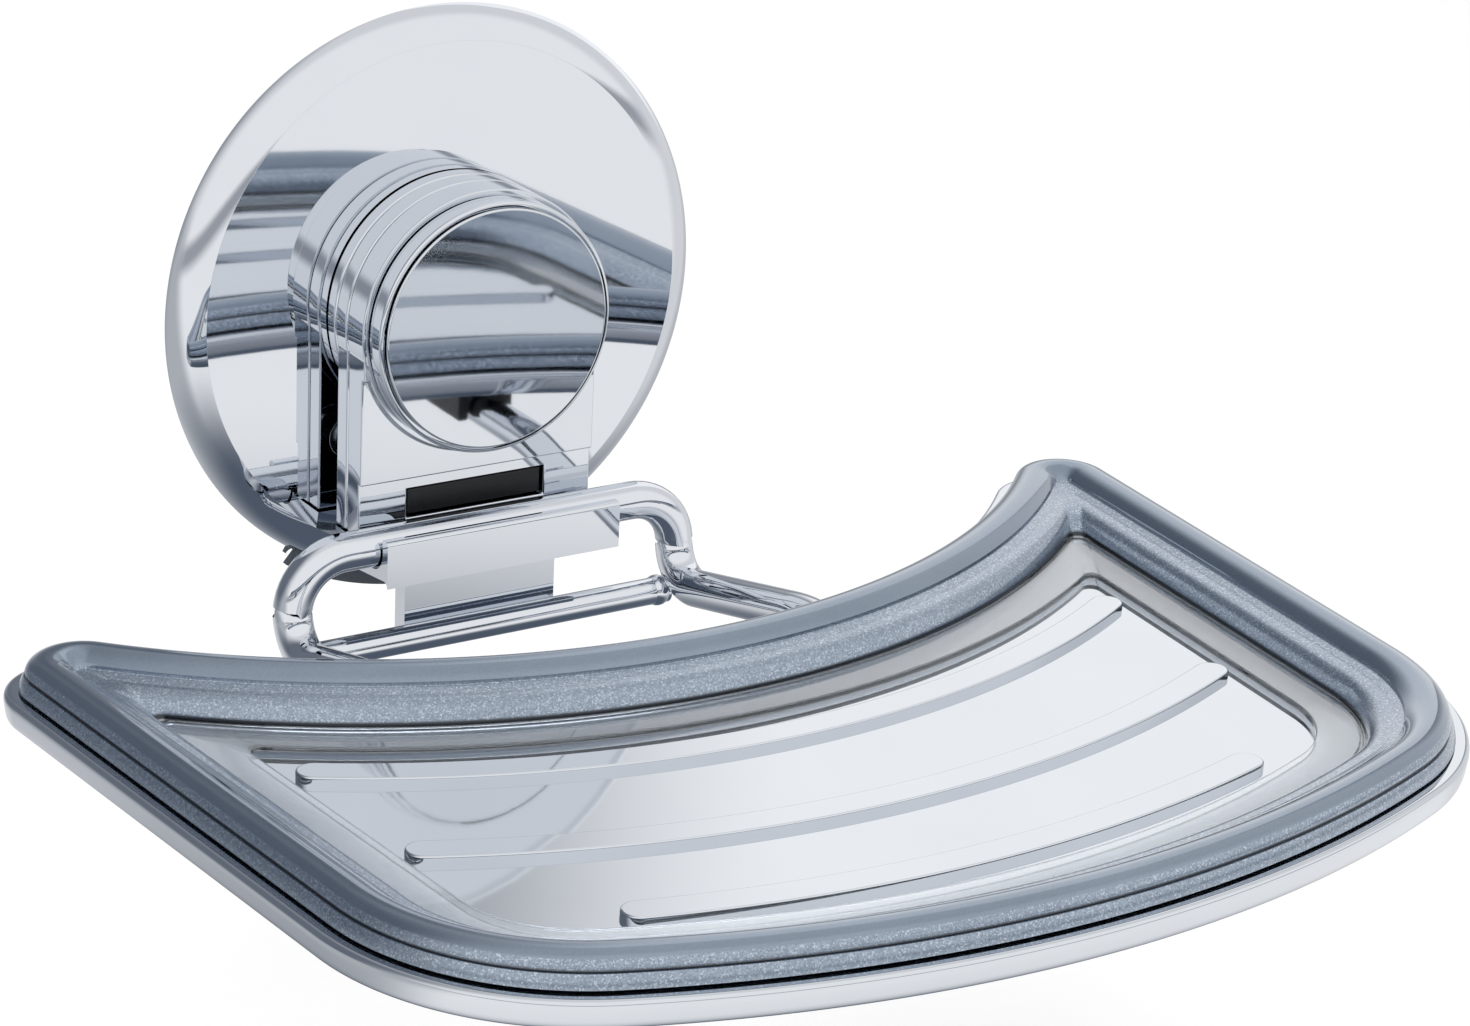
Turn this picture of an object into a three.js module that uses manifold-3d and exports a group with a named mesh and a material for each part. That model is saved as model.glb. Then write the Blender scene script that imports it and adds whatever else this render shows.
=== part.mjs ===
// A soap dish that a screw-down suction cup holds on a tiled wall.
// The cup's pad lies on the wall, y = 0, and everything else stands out toward -Y.
// The cup's axis is the Y axis, +Z is up and the unit is the millimetre.
import * as THREE from 'three';
import { mergeVertices } from 'three/addons/utils/BufferGeometryUtils.js';
import Module from 'manifold-3d';

// Clearances that all fitted pieces share
const seatGap = 0.3;
const overrun = 1;

// Suction pad: a soft disc with a hub that holds the head of the stud
const padRadius = 37;
const padEdgeThickness = 1;
const padRootThickness = 1.3;
const hubRadius = 12.5;
const hubFloor = 1;
const hubRoof = 1;
const tabReach = 2.2;
const tabHalfWidth = 21.5;
const tabCornerRadius = 1.4;

// Stud: a threaded rod with a wide flat head
const studRadius = 2.9;
const studHeadRadius = 9.5;
const studHeadThickness = 1;
const studLength = 13;
const threadPitch = 1;
const tighteningTurns = 1.25;

// Cover: the round bright shell that presses the pad down
const coverRadius = 38;
const coverWall = 1.2;
const coverStandOff = 1.4;
const coverSideHeight = 3.5;
const coverSideReach = 4.2;
const coverSideLean = 1;
const coverShoulderHeight = 2.5;

// Pressure ring: the stiff ring inside the cover
const pressureRingWidth = 10;
const pressureRingFoot = 3.2;
const pressureRingFootHeight = 0.5;

// Collar: the boss on the cover, with the neck that the bracket turns on
const collarRadius = 17.2;
const collarHeight = 1.8;
const collarWall = 1.6;
const collarWebThickness = 1.1;
const neckRadius = 6;
const neckWall = 2.6;

// Bracket: two keyhole-shaped layers that are screwed together
const ringRadius = 17.2;
const tongueHalfWidth = 16.9;
const backLayerThickness = 2.8;
const frontLayerThickness = 3.6;
const ringRise = 0.6;
const edgeBevel = 0.35;
const counterboreRadius = 8.4;
const counterboreFloor = 1;
const tongueStepZ = -19.9;
const tongueStepDepth = 0.5;
const tongueBottomZ = -27;
const windowHalfWidth = 10;
const windowTopZ = -21.3;
const windowBottomZ = -25.3;
const padInset = 0.4;
const screwX = 12.6;
const screwZ = -17.6;
const screwHeadRadius = 2.3;
const screwHeadHeight = 1.3;
const screwShankRadius = 1.2;
const screwShankLength = 4.4;

// Hook: the open trough that the top bar of the frame drops into
const barRadius = 2.5;
const troughWall = 0.3;
const barZ = -26.7;
const lipThickness = 1.3;
const lipTopZ = -24.8;
const troughFloor = 2.3;
const heelHalfWidth = 11;
const heelThickness = 2.6;
const heelDrop = 10.5;
const hookScrewX = 14.2;
const hookScrewLength = 7;

// Knob: a shallow turned shell with a brass nut and a flat bright cap
const knobRadius = 16.5;
const knobSkirt = 1.4;
const knobDepth = 2.9;
const knobWeb = 1.1;
const knobRoll = 0.5;
const knobHubWall = 1.8;
const capRecess = 0.8;
const capRise = 0.4;
const capBevel = 0.3;
const nutAcrossFlats = 10;
const nutHeight = 3.8;
const washerThickness = 0.6;

// Wire frame: one welded loop of round wire with a cross wire behind
const legX = 28;
const topBendRadius = 7;
const lowBendRadius = 5;
const legFootZ = -39.6;
const runnerRiseLength = 32;
const runnerGap = 0.4;
const loopFrontY = -124;
const frontBendRadius = 9;
const crossWireRadius = 1.8;
const weldRadius = 2.8;
const weldLength = 3;
const wireSides = 12;

// Tray: its plan has a bowed front, slightly tapered sides and a hollow back
const trayFrontY = -146.5;
const frontArcRadius = 145;
const sideHalfWidth = 76.2;
const sideHalfWidthY = -52;
const sideTaper = 4.7 * Math.PI / 180;
const frontCornerRadius = 30;
const backCornerRadius = 7.5;
const backArcRadius = 90;
const backArcCentreY = 21.8;
const smallestCornerRadius = 1.2;

// Tray base: the bright shell with a bull-nosed edge and curved ribs on its floor
const bandTopZ = -24.1;
const bandHeight = 3.4;
const bandBulge = 1.5;
const bandWall = 1.8;
const bandFoot = 2.2;
const floorTopZ = -26.2;
const floorThickness = 1;
const ribWidth = 4;
const ribHeight = 0.9;
const ribs = [
  { radius: 111.5, halfSpan: 54.5 },
  { radius: 130.8, halfSpan: 53 },
  { radius: 147.2, halfSpan: 40 },
];

// Tray rim: the smoky clear insert that lies in the base
const rimCrestZ = -20.2;
const rimEdgeInset = 0.4;
const rimWall = 1.5;
const rimShoulderInset = 1.8;
const rimShoulderDrop = 0.6;
const rimGrooveInset = 1.1;
const rimGrooveDrop = 1.6;
const rimGrooveWidth = 0.5;
const rimGrooveDepth = 0.35;
const rimCrestInset = 3.4;
const rimBrowInset = 6.3;
const rimBrowDrop = 1.4;
const rimStepWidth = 1.3;
const rimStepDrop = 0.9;
const rimWallReach = 3;
const rimLedgeWidth = 5.5;
const rimLedgeThickness = 0.8;

// Saddles and feet under the tray
const saddleLength = 12;
const saddleWall = 1.6;
const saddleReach = 1.2;
const rearSaddleY = -76;
const frontSaddleY = -104;
const footLength = 13;
const footWidth = 6;
const footHeight = 3;
const footInset = 5.5;
const sideFootY = -80;
const frontFootX = 38;
const frontFootInset = 13;

// Depths from the wall, each worked out from the piece behind it
const padFaceDepth = padRootThickness;
const studTravel = threadPitch * tighteningTurns;
const studHeadDepth = hubFloor + seatGap;
const pocketRoofDepth = studHeadDepth + studHeadThickness + studTravel + seatGap;
const hubDepth = pocketRoofDepth + hubRoof;
const coverFaceDepth = coverStandOff + coverSideHeight;
const coverInnerDepth = coverFaceDepth - coverWall;
const collarBackDepth = coverFaceDepth + seatGap;
const collarFaceDepth = collarBackDepth + collarHeight;
const backLayerDepth = collarFaceDepth + seatGap;
const backLayerFaceDepth = backLayerDepth + backLayerThickness;
const frontLayerDepth = backLayerFaceDepth + seatGap;
const tongueFaceDepth = frontLayerDepth + frontLayerThickness;
const ringFaceDepth = tongueFaceDepth + ringRise;
const counterboreDepth = frontLayerDepth + counterboreFloor;
const washerDepth = counterboreDepth + seatGap;
const knobHubDepth = washerDepth + washerThickness + seatGap;
const knobBackDepth = ringFaceDepth + seatGap;
const knobFaceDepth = knobBackDepth + knobDepth;
const capSeatDepth = knobFaceDepth - capRecess;
const neckEndDepth = washerDepth + washerThickness;
const studClearance = neckRadius - neckWall;
const boreRadius = neckRadius + seatGap;
const nutCornerRadius = nutAcrossFlats / Math.sqrt(3);
const nutPocketRadius = nutCornerRadius + seatGap;
const tongueStepFaceDepth = tongueFaceDepth - tongueStepDepth;
const troughRadius = barRadius + seatGap;
const barDepth = tongueFaceDepth + seatGap + troughWall + troughRadius;
const lipFaceDepth = barDepth + troughRadius + lipThickness;
const troughFloorZ = barZ - troughRadius;
const hookBottomZ = troughFloorZ - troughFloor;
const hookShelfZ = tongueBottomZ - seatGap;
const trayBottomZ = floorTopZ - floorThickness;
const bandBottomZ = bandTopZ - bandHeight;
const runnerZ = trayBottomZ - runnerGap - saddleWall - seatGap - barRadius;
const crossWireDepth = barDepth;
const heelFaceDepth = crossWireDepth - crossWireRadius - seatGap;

// The two sides of a pair of like pieces, as the sign of X
const sides = { left: -1, right: 1 };
const mirrored = Object.values(sides);

// Kit for closed bodies

const wasm = await Module();
wasm.setup();

function volumeOf(geometry) {
  const place = geometry.attributes.position;
  const index = geometry.index;
  const a = new THREE.Vector3();
  const b = new THREE.Vector3();
  const c = new THREE.Vector3();
  let sum = 0;
  for (let i = 0; i < index.count; i += 3) {
    a.fromBufferAttribute(place, index.getX(i));
    b.fromBufferAttribute(place, index.getX(i + 1));
    c.fromBufferAttribute(place, index.getX(i + 2));
    sum += a.dot(b.cross(c));
  }
  return sum;
}

// Merges shared corners, leaves out faces without area and turns the faces outward
function closedBody(source) {
  const bare = source.clone();
  bare.deleteAttribute('normal');
  bare.deleteAttribute('uv');
  const merged = mergeVertices(bare);
  const kept = [];
  for (let i = 0; i < merged.index.count; i += 3) {
    const corners = [0, 1, 2].map((k) => merged.index.getX(i + k));
    if (new Set(corners).size === corners.length) kept.push(...corners);
  }
  merged.setIndex(kept);
  if (volumeOf(merged) < 0) {
    for (let i = 0; i < kept.length; i += 3) {
      const swap = kept[i];
      kept[i] = kept[i + 1];
      kept[i + 1] = swap;
    }
    merged.setIndex(kept);
  }
  return merged;
}

function asManifold(geometry) {
  const body = closedBody(geometry);
  const mesh = new wasm.Mesh({
    numProp: 3,
    vertProperties: new Float32Array(body.attributes.position.array),
    triVerts: new Uint32Array(body.index.array),
  });
  return new wasm.Manifold(mesh);
}

function fromManifold(solid) {
  const mesh = solid.getMesh();
  const geometry = new THREE.BufferGeometry();
  geometry.setAttribute('position', new THREE.BufferAttribute(new Float32Array(mesh.vertProperties), 3));
  geometry.setIndex([...mesh.triVerts]);
  return geometry;
}

function cut(base, ...tools) {
  let solid = asManifold(base);
  for (const tool of tools) solid = solid.subtract(asManifold(tool));
  return fromManifold(solid);
}

function join(base, ...others) {
  let solid = asManifold(base);
  for (const other of others) solid = solid.add(asManifold(other));
  return fromManifold(solid);
}

// A turned form on the cup's axis, drawn as radius and depth from the wall
function turned(profile, sides) {
  return new THREE.LatheGeometry(profile.map(([radius, depth]) => new THREE.Vector2(radius, -depth)), sides);
}

// A turned form that closes on itself, away from the axis
function turnedRing(profile, sides) {
  return turned([...profile, profile[0]], sides);
}

// A plate across the cup's axis: its outline is drawn in X and Z
function plate(shape, backDepth, thickness, bevel = 0, curveSegments = 16) {
  const geometry = new THREE.ExtrudeGeometry(shape, {
    depth: thickness - bevel - bevel,
    bevelEnabled: bevel > 0,
    bevelThickness: bevel,
    bevelSize: bevel,
    bevelOffset: -bevel,
    bevelSegments: 2,
    curveSegments,
  });
  geometry.translate(0, 0, bevel);
  geometry.rotateX(Math.PI / 2);
  geometry.translate(0, -backDepth, 0);
  return geometry;
}

// A bar along X: its section is drawn in depth and Z
function barAcross(section, halfWidth, curveSegments = 10) {
  const geometry = new THREE.ExtrudeGeometry(section, {
    depth: halfWidth + halfWidth,
    bevelEnabled: false,
    curveSegments,
  });
  geometry.translate(0, 0, -halfWidth);
  geometry.applyMatrix4(new THREE.Matrix4().makeBasis(
    new THREE.Vector3(0, -1, 0), new THREE.Vector3(0, 0, 1), new THREE.Vector3(-1, 0, 0)));
  return geometry;
}

function block(lowX, highX, lowDepth, highDepth, lowZ, highZ) {
  const geometry = new THREE.BoxGeometry(highX - lowX, highDepth - lowDepth, highZ - lowZ);
  geometry.translate((lowX + highX) / 2, -(lowDepth + highDepth) / 2, (lowZ + highZ) / 2);
  return geometry;
}

// A round pin along the cup's axis direction
function pinAlongDepth(radius, x, z, lowDepth, highDepth, sides) {
  const geometry = new THREE.CylinderGeometry(radius, radius, highDepth - lowDepth, sides);
  geometry.translate(x, -(lowDepth + highDepth) / 2, z);
  return geometry;
}

// A round pin that stands upright
function pinUpright(radius, x, depth, lowZ, highZ, sides) {
  const geometry = new THREE.CylinderGeometry(radius, radius, highZ - lowZ, sides);
  geometry.rotateX(Math.PI / 2);
  geometry.translate(x, -depth, (lowZ + highZ) / 2);
  return geometry;
}

// A quarter of an ellipse between two corners of a profile, as rows of radius and depth
function quarterRound(from, to, steps) {
  const rows = [];
  for (let i = 0; i <= steps; i += 1) {
    const turn = (i / steps) * Math.PI / 2;
    rows.push([
      to[0] + (from[0] - to[0]) * Math.cos(turn),
      from[1] + (to[1] - from[1]) * Math.sin(turn),
    ]);
  }
  return rows;
}

// A curve from one corner of a profile to another, pulled toward a third
function curveRows(from, pull, to, steps) {
  const spots = [from, pull, to].map(([radius, depth]) => new THREE.Vector2(radius, depth));
  return new THREE.QuadraticBezierCurve(...spots).getPoints(steps).map((spot) => [spot.x, spot.y]);
}

// Suction cup

function suctionPad() {
  const pocketRadius = studHeadRadius + seatGap;
  const mouthRadius = studRadius + seatGap;
  const disc = turned([
    [0, 0], [padRadius, 0], [padRadius, padEdgeThickness], [hubRadius + hubRadius / 4, padRootThickness],
    [hubRadius, padRootThickness + hubRoof / 2], [hubRadius, hubDepth], [mouthRadius, hubDepth],
    [mouthRadius, pocketRoofDepth], [pocketRadius, pocketRoofDepth], [pocketRadius, hubFloor], [0, hubFloor],
  ], 56);
  return join(disc, pullTab());
}

// The lip at the bottom of the pad that a finger lifts to let air in
function pullTab() {
  const outer = coverRadius + tabReach;
  const inner = padRadius - coverSideReach;
  const turn = Math.asin(tabHalfWidth / outer);
  const cornerTurn = tabCornerRadius / outer;
  const low = -Math.PI / 2 - turn;
  const high = -Math.PI / 2 + turn;
  const at = (radius, angle) => [radius * Math.cos(angle), radius * Math.sin(angle)];
  const shape = new THREE.Shape();
  shape.moveTo(...at(inner, low));
  shape.lineTo(...at(outer - tabCornerRadius, low));
  shape.quadraticCurveTo(...at(outer, low), ...at(outer, low + cornerTurn));
  shape.absarc(0, 0, outer, low + cornerTurn, high - cornerTurn, false);
  shape.quadraticCurveTo(...at(outer, high), ...at(outer - tabCornerRadius, high));
  shape.lineTo(...at(inner, high));
  shape.absarc(0, 0, inner, high, low, true);
  return plate(shape, 0, padEdgeThickness, 0, 12);
}

function padStud() {
  return turned([
    [0, studHeadDepth], [studHeadRadius, studHeadDepth], [studHeadRadius, studHeadDepth + studHeadThickness],
    [studRadius, studHeadDepth + studHeadThickness], [studRadius, studHeadDepth + studLength - edgeBevel],
    [studRadius - edgeBevel, studHeadDepth + studLength], [0, studHeadDepth + studLength],
  ], 32);
}

function pressureRing() {
  const outer = coverRadius - coverWall - coverSideReach;
  const inner = outer - pressureRingWidth;
  const back = coverStandOff;
  const front = coverInnerDepth - seatGap;
  const step = back + pressureRingFootHeight;
  return turnedRing([
    [inner, step], [outer - pressureRingFoot, step], [outer - pressureRingFoot, back],
    [outer, back], [outer, front], [inner, front],
  ], 48);
}

function cover() {
  const boreEdge = hubRadius + seatGap + seatGap;
  const shoulderDepth = coverStandOff + coverShoulderHeight;
  const side = (shift, steps) => curveRows(
    [coverRadius - shift, coverStandOff],
    [coverRadius - coverSideLean - shift, shoulderDepth - shift],
    [coverRadius - coverSideReach - shift, coverFaceDepth - shift], steps);
  return turnedRing([
    ...side(0, 7), [boreEdge, coverFaceDepth], [boreEdge, coverInnerDepth], ...side(coverWall, 4).reverse(),
  ], 60);
}

function collar() {
  const webBack = collarFaceDepth - collarWebThickness;
  return turnedRing([
    [collarRadius, collarBackDepth], [collarRadius, collarFaceDepth - edgeBevel],
    [collarRadius - edgeBevel, collarFaceDepth], [neckRadius, collarFaceDepth], [neckRadius, neckEndDepth],
    [studClearance, neckEndDepth], [studClearance, webBack], [collarRadius - collarWall, webBack],
    [collarRadius - collarWall, collarBackDepth],
  ], 56);
}

// Bracket

function keyholeOutline(inset = 0) {
  const radius = ringRadius - inset;
  const half = tongueHalfWidth - inset;
  const turn = Math.asin(Math.sqrt(radius * radius - half * half) / radius);
  const shape = new THREE.Shape();
  shape.moveTo(-half, tongueBottomZ + inset);
  shape.lineTo(half, tongueBottomZ + inset);
  shape.lineTo(half, -radius * Math.sin(turn));
  shape.absarc(0, 0, radius, -turn, Math.PI + turn, false);
  shape.lineTo(-half, tongueBottomZ + inset);
  return shape;
}

function withBore(shape, radius) {
  const hole = new THREE.Path();
  hole.absarc(0, 0, radius, 0, Math.PI + Math.PI, true);
  shape.holes.push(hole);
  return shape;
}

function bracketBack() {
  const body = plate(withBore(keyholeOutline(), boreRadius), backLayerDepth, backLayerThickness, edgeBevel, 20);
  const tools = mirrored.flatMap((side) => [
    pinAlongDepth(screwHeadRadius + seatGap, side * screwX, screwZ,
      backLayerDepth - overrun, backLayerDepth + screwHeadHeight + seatGap, 16),
    pinAlongDepth(screwShankRadius + seatGap, side * screwX, screwZ,
      backLayerDepth - overrun, backLayerFaceDepth + overrun, 12),
  ]);
  return cut(body, ...tools);
}

function bracketFront() {
  const body = plate(withBore(keyholeOutline(), boreRadius), frontLayerDepth, frontLayerThickness, edgeBevel, 20);
  const disc = new THREE.Shape();
  disc.absarc(0, 0, ringRadius, 0, Math.PI + Math.PI, false);
  const raised = plate(withBore(disc, boreRadius), frontLayerDepth + edgeBevel,
    ringFaceDepth - frontLayerDepth - edgeBevel, edgeBevel, 24);
  const step = block(-tongueHalfWidth - overrun, tongueHalfWidth + overrun,
    tongueStepFaceDepth, tongueFaceDepth + overrun, tongueBottomZ - overrun, tongueStepZ);
  const opening = block(-windowHalfWidth, windowHalfWidth,
    frontLayerDepth - overrun, tongueFaceDepth + overrun, windowBottomZ, windowTopZ);
  const counterbore = pinAlongDepth(counterboreRadius, 0, 0, counterboreDepth, ringFaceDepth + overrun, 40);
  const screwHoles = mirrored.map((side) => pinAlongDepth(screwShankRadius + seatGap, side * screwX, screwZ,
    frontLayerDepth - overrun, backLayerDepth + screwHeadHeight + screwShankLength + seatGap, 12));
  const hookHoles = mirrored.map((side) => pinUpright(screwShankRadius + seatGap, side * hookScrewX,
    hookScrewDepth(), tongueBottomZ - overrun, hookScrewTopZ() + seatGap, 12));
  return cut(join(body, raised), step, opening, counterbore, ...screwHoles, ...hookHoles);
}

function hookScrewDepth() {
  return frontLayerDepth + frontLayerThickness / 2;
}

function hookScrewHeadZ() {
  return hookBottomZ + screwHeadHeight;
}

function hookScrewTopZ() {
  return hookScrewHeadZ() + hookScrewLength;
}

function bracketScrew(side) {
  return join(
    pinAlongDepth(screwHeadRadius, side * screwX, screwZ, backLayerDepth, backLayerDepth + screwHeadHeight, 16),
    pinAlongDepth(screwShankRadius, side * screwX, screwZ, backLayerDepth + screwHeadHeight / 2,
      backLayerDepth + screwHeadHeight + screwShankLength, 12),
  );
}

// The black rubber pad in the tongue's window, which keeps the bar from rattling
function windowPad() {
  return block(-windowHalfWidth + seatGap, windowHalfWidth - seatGap,
    frontLayerDepth, tongueStepFaceDepth - padInset,
    windowBottomZ + seatGap, windowTopZ - seatGap);
}

// Hook

function hookBlock() {
  const lipInner = barDepth + troughRadius;
  const lipRound = lipThickness / 2;
  const troughBack = barDepth - troughRadius;
  const section = new THREE.Shape();
  section.moveTo(backLayerDepth + edgeBevel, hookBottomZ);
  section.lineTo(lipFaceDepth - edgeBevel, hookBottomZ);
  section.lineTo(lipFaceDepth, hookBottomZ + edgeBevel);
  section.lineTo(lipFaceDepth, lipTopZ - lipRound);
  section.absarc(lipInner + lipRound, lipTopZ - lipRound, lipRound, 0, Math.PI, false);
  section.lineTo(lipInner, barZ);
  section.absarc(barDepth, barZ, troughRadius, 0, -Math.PI, true);
  section.lineTo(troughBack, hookShelfZ + seatGap);
  section.lineTo(tongueFaceDepth + seatGap, hookShelfZ + seatGap);
  section.lineTo(tongueFaceDepth + seatGap, hookShelfZ);
  section.lineTo(backLayerDepth, hookShelfZ);
  section.lineTo(backLayerDepth, hookBottomZ + edgeBevel);
  section.closePath();
  const body = barAcross(section, tongueHalfWidth, 10);
  const heel = block(-heelHalfWidth, heelHalfWidth, heelFaceDepth - heelThickness, heelFaceDepth,
    hookBottomZ - heelDrop, hookBottomZ + troughFloor / 2);
  const holes = mirrored.flatMap((side) => [
    pinUpright(screwHeadRadius + seatGap, side * hookScrewX, hookScrewDepth(),
      hookBottomZ - overrun, hookScrewHeadZ() + seatGap, 16),
    pinUpright(screwShankRadius + seatGap, side * hookScrewX, hookScrewDepth(),
      hookBottomZ - overrun, hookShelfZ + overrun, 12),
  ]);
  return cut(join(body, heel), ...holes);
}

function hookScrew(side) {
  return join(
    pinUpright(screwHeadRadius, side * hookScrewX, hookScrewDepth(), hookBottomZ, hookScrewHeadZ(), 16),
    pinUpright(screwShankRadius, side * hookScrewX, hookScrewDepth(),
      hookScrewHeadZ() - screwHeadHeight / 2, hookScrewTopZ(), 12),
  );
}

// Knob

function slipWasher() {
  const outer = counterboreRadius - seatGap;
  return turnedRing([
    [boreRadius, washerDepth], [outer, washerDepth], [outer, washerDepth + washerThickness],
    [boreRadius, washerDepth + washerThickness],
  ], 36);
}

function knobBody() {
  const webBack = capSeatDepth - knobWeb;
  const hubOuter = nutPocketRadius + knobHubWall;
  const capPocket = knobRadius - knobRoll;
  const roll = quarterRound([knobRadius, knobFaceDepth - knobRoll], [knobRadius - knobRoll, knobFaceDepth], 5);
  return turnedRing([
    [knobRadius - knobSkirt, knobBackDepth], [knobRadius, knobBackDepth],
    ...roll, [capPocket, capSeatDepth], [nutPocketRadius, capSeatDepth],
    [nutPocketRadius, knobHubDepth], [hubOuter, knobHubDepth], [hubOuter, webBack],
    [knobRadius - knobSkirt, webBack],
  ], 48);
}

function knobCap() {
  const radius = knobRadius - knobRoll - seatGap;
  const face = knobFaceDepth + capRise;
  return turned([
    [0, capSeatDepth + seatGap], [radius, capSeatDepth + seatGap], [radius, face - capBevel],
    [radius - capBevel, face], [0, face],
  ], 48);
}

function knobNut() {
  const shape = new THREE.Shape();
  for (let i = 0; i < 6; i += 1) {
    const turn = (i / 6) * (Math.PI + Math.PI);
    const corner = [nutCornerRadius * Math.cos(turn), nutCornerRadius * Math.sin(turn)];
    if (i === 0) shape.moveTo(...corner);
    else shape.lineTo(...corner);
  }
  shape.closePath();
  return plate(withBore(shape, studRadius + seatGap), knobHubDepth + seatGap, nutHeight, 0, 12);
}

// Wire frame

// A path that is read at chosen stations, so bends get close steps and straights none
class StationPath extends THREE.Curve {
  constructor(points) {
    super();
    this.points = points;
  }

  getPoint(t) {
    return this.points[Math.round(t * (this.points.length - 1))].clone();
  }

  getPointAt(u) {
    return this.getPoint(u);
  }

  getTangentAt(u) {
    const last = this.points.length - 1;
    const i = Math.round(u * last);
    const before = this.points[Math.max(i - 1, 0)];
    const after = this.points[Math.min(i + 1, last)];
    const into = this.points[i].clone().sub(before).normalize();
    const out = after.clone().sub(this.points[i]).normalize();
    return into.add(out).normalize();
  }
}

// The stations of a path through corners, each rounded with its own radius
function roundedStations(corners, radii, steps) {
  const stations = [corners[0].clone()];
  for (let i = 1; i < corners.length - 1; i += 1) {
    const into = corners[i].clone().sub(corners[i - 1]).normalize();
    const out = corners[i + 1].clone().sub(corners[i]).normalize();
    const turn = into.angleTo(out);
    const side = out.clone().sub(into.clone().multiplyScalar(out.dot(into))).normalize();
    const start = corners[i].clone().addScaledVector(into, -radii[i] * Math.tan(turn / 2));
    for (let k = 0; k <= steps; k += 1) {
      const angle = (k / steps) * turn;
      stations.push(start.clone()
        .addScaledVector(into, radii[i] * Math.sin(angle))
        .addScaledVector(side, radii[i] * (1 - Math.cos(angle))));
    }
  }
  stations.push(corners[corners.length - 1].clone());
  return stations;
}

function wireAlong(corners, radii, radius, steps = 6) {
  const stations = roundedStations(corners, radii, steps);
  const section = new THREE.Shape();
  section.absarc(0, 0, radius, 0, Math.PI + Math.PI, false);
  return new THREE.ExtrudeGeometry(section, {
    steps: stations.length - 1,
    extrudePath: new StationPath(stations),
    bevelEnabled: false,
    curveSegments: wireSides / 2,
  });
}

function wireFrame() {
  const halfWeld = seatGap / 2;
  const at = (x, depth, z) => new THREE.Vector3(x, -depth, z);
  const front = -loopFrontY;
  const riseEnd = barDepth + runnerRiseLength;
  const half = (side) => [
    at(side * legX, front, runnerZ), at(side * legX, riseEnd, runnerZ),
    at(side * legX, barDepth, legFootZ), at(side * legX, barDepth, barZ),
  ];
  const corners = [at(halfWeld, front, runnerZ), ...half(1), ...half(-1).reverse(), at(-halfWeld, front, runnerZ)];
  const sideRadii = [frontBendRadius, runnerRiseLength, lowBendRadius, topBendRadius];
  const radii = [0, ...sideRadii, ...[...sideRadii].reverse(), 0];
  const loop = wireAlong(corners, radii, barRadius);
  const weld = new THREE.CylinderGeometry(weldRadius, weldRadius, weldLength, wireSides);
  weld.rotateZ(Math.PI / 2);
  weld.translate(0, loopFrontY, runnerZ);
  return join(loop, weld);
}

// The straight wire between the two legs, whose middle rests on the hook's heel
function crossWire() {
  const length = legX + legX - barRadius - barRadius - seatGap - seatGap;
  const geometry = new THREE.CylinderGeometry(crossWireRadius, crossWireRadius, length, wireSides);
  geometry.rotateZ(Math.PI / 2);
  geometry.translate(0, -crossWireDepth, hookBottomZ - heelDrop + crossWireRadius + seatGap);
  return geometry;
}

// Tray plan: one half is worked out from the driving radii and then mirrored

function sideLineX(y) {
  return sideHalfWidth + (y - sideHalfWidthY) * Math.tan(sideTaper);
}

// The centre of a corner arc that touches the side line and lies at a given distance from a point on the axis
function cornerCentre(cornerRadius, inset, axisY, distance, farther) {
  const slope = Math.tan(sideTaper);
  const reach = (cornerRadius + inset) / Math.cos(sideTaper);
  const base = sideLineX(axisY) - reach;
  const a = 1 + slope * slope;
  const b = base * slope;
  const c = base * base - distance * distance;
  const root = Math.sqrt(b * b - a * c);
  const rise = (farther ? -b + root : -b - root) / a;
  return new THREE.Vector2(base + slope * rise, axisY + rise);
}

function arcPoints(centre, radius, from, to, steps) {
  const points = [];
  for (let i = 0; i <= steps; i += 1) {
    const turn = from + (i / steps) * (to - from);
    points.push(new THREE.Vector2(centre.x + radius * Math.cos(turn), centre.y + radius * Math.sin(turn)));
  }
  return points;
}

// The tray's outline, drawn in by an inset, as a closed list of points seen from above
function trayOutline(inset, fine = 1) {
  const frontCentre = new THREE.Vector2(0, trayFrontY + frontArcRadius);
  const backCentre = new THREE.Vector2(0, backArcCentreY);
  const frontRadius = frontArcRadius - inset;
  const backRadius = backArcRadius + inset;
  const frontCorner = Math.max(frontCornerRadius - inset, smallestCornerRadius);
  const backCorner = Math.max(backCornerRadius - inset, smallestCornerRadius);
  const frontSpot = cornerCentre(frontCorner, inset, frontCentre.y, frontRadius - frontCorner, false);
  const backSpot = cornerCentre(backCorner, inset, backCentre.y, backRadius + backCorner, false);
  const frontTurn = Math.atan2(frontSpot.y - frontCentre.y, frontSpot.x);
  const backTurn = Math.atan2(backCentre.y - backSpot.y, -backSpot.x);
  const half = [
    ...arcPoints(frontCentre, frontRadius, -Math.PI / 2, frontTurn, 7 * fine),
    ...arcPoints(frontSpot, frontCorner, frontTurn, -sideTaper, 6 * fine).slice(1),
    ...arcPoints(backSpot, backCorner, -sideTaper, backTurn, 8 * fine),
    ...arcPoints(backCentre, backRadius, backTurn - Math.PI, -Math.PI / 2, 8 * fine).slice(1),
  ];
  const other = half.slice(1, -1).reverse().map((point) => new THREE.Vector2(-point.x, point.y));
  return [...half, ...other];
}

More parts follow.
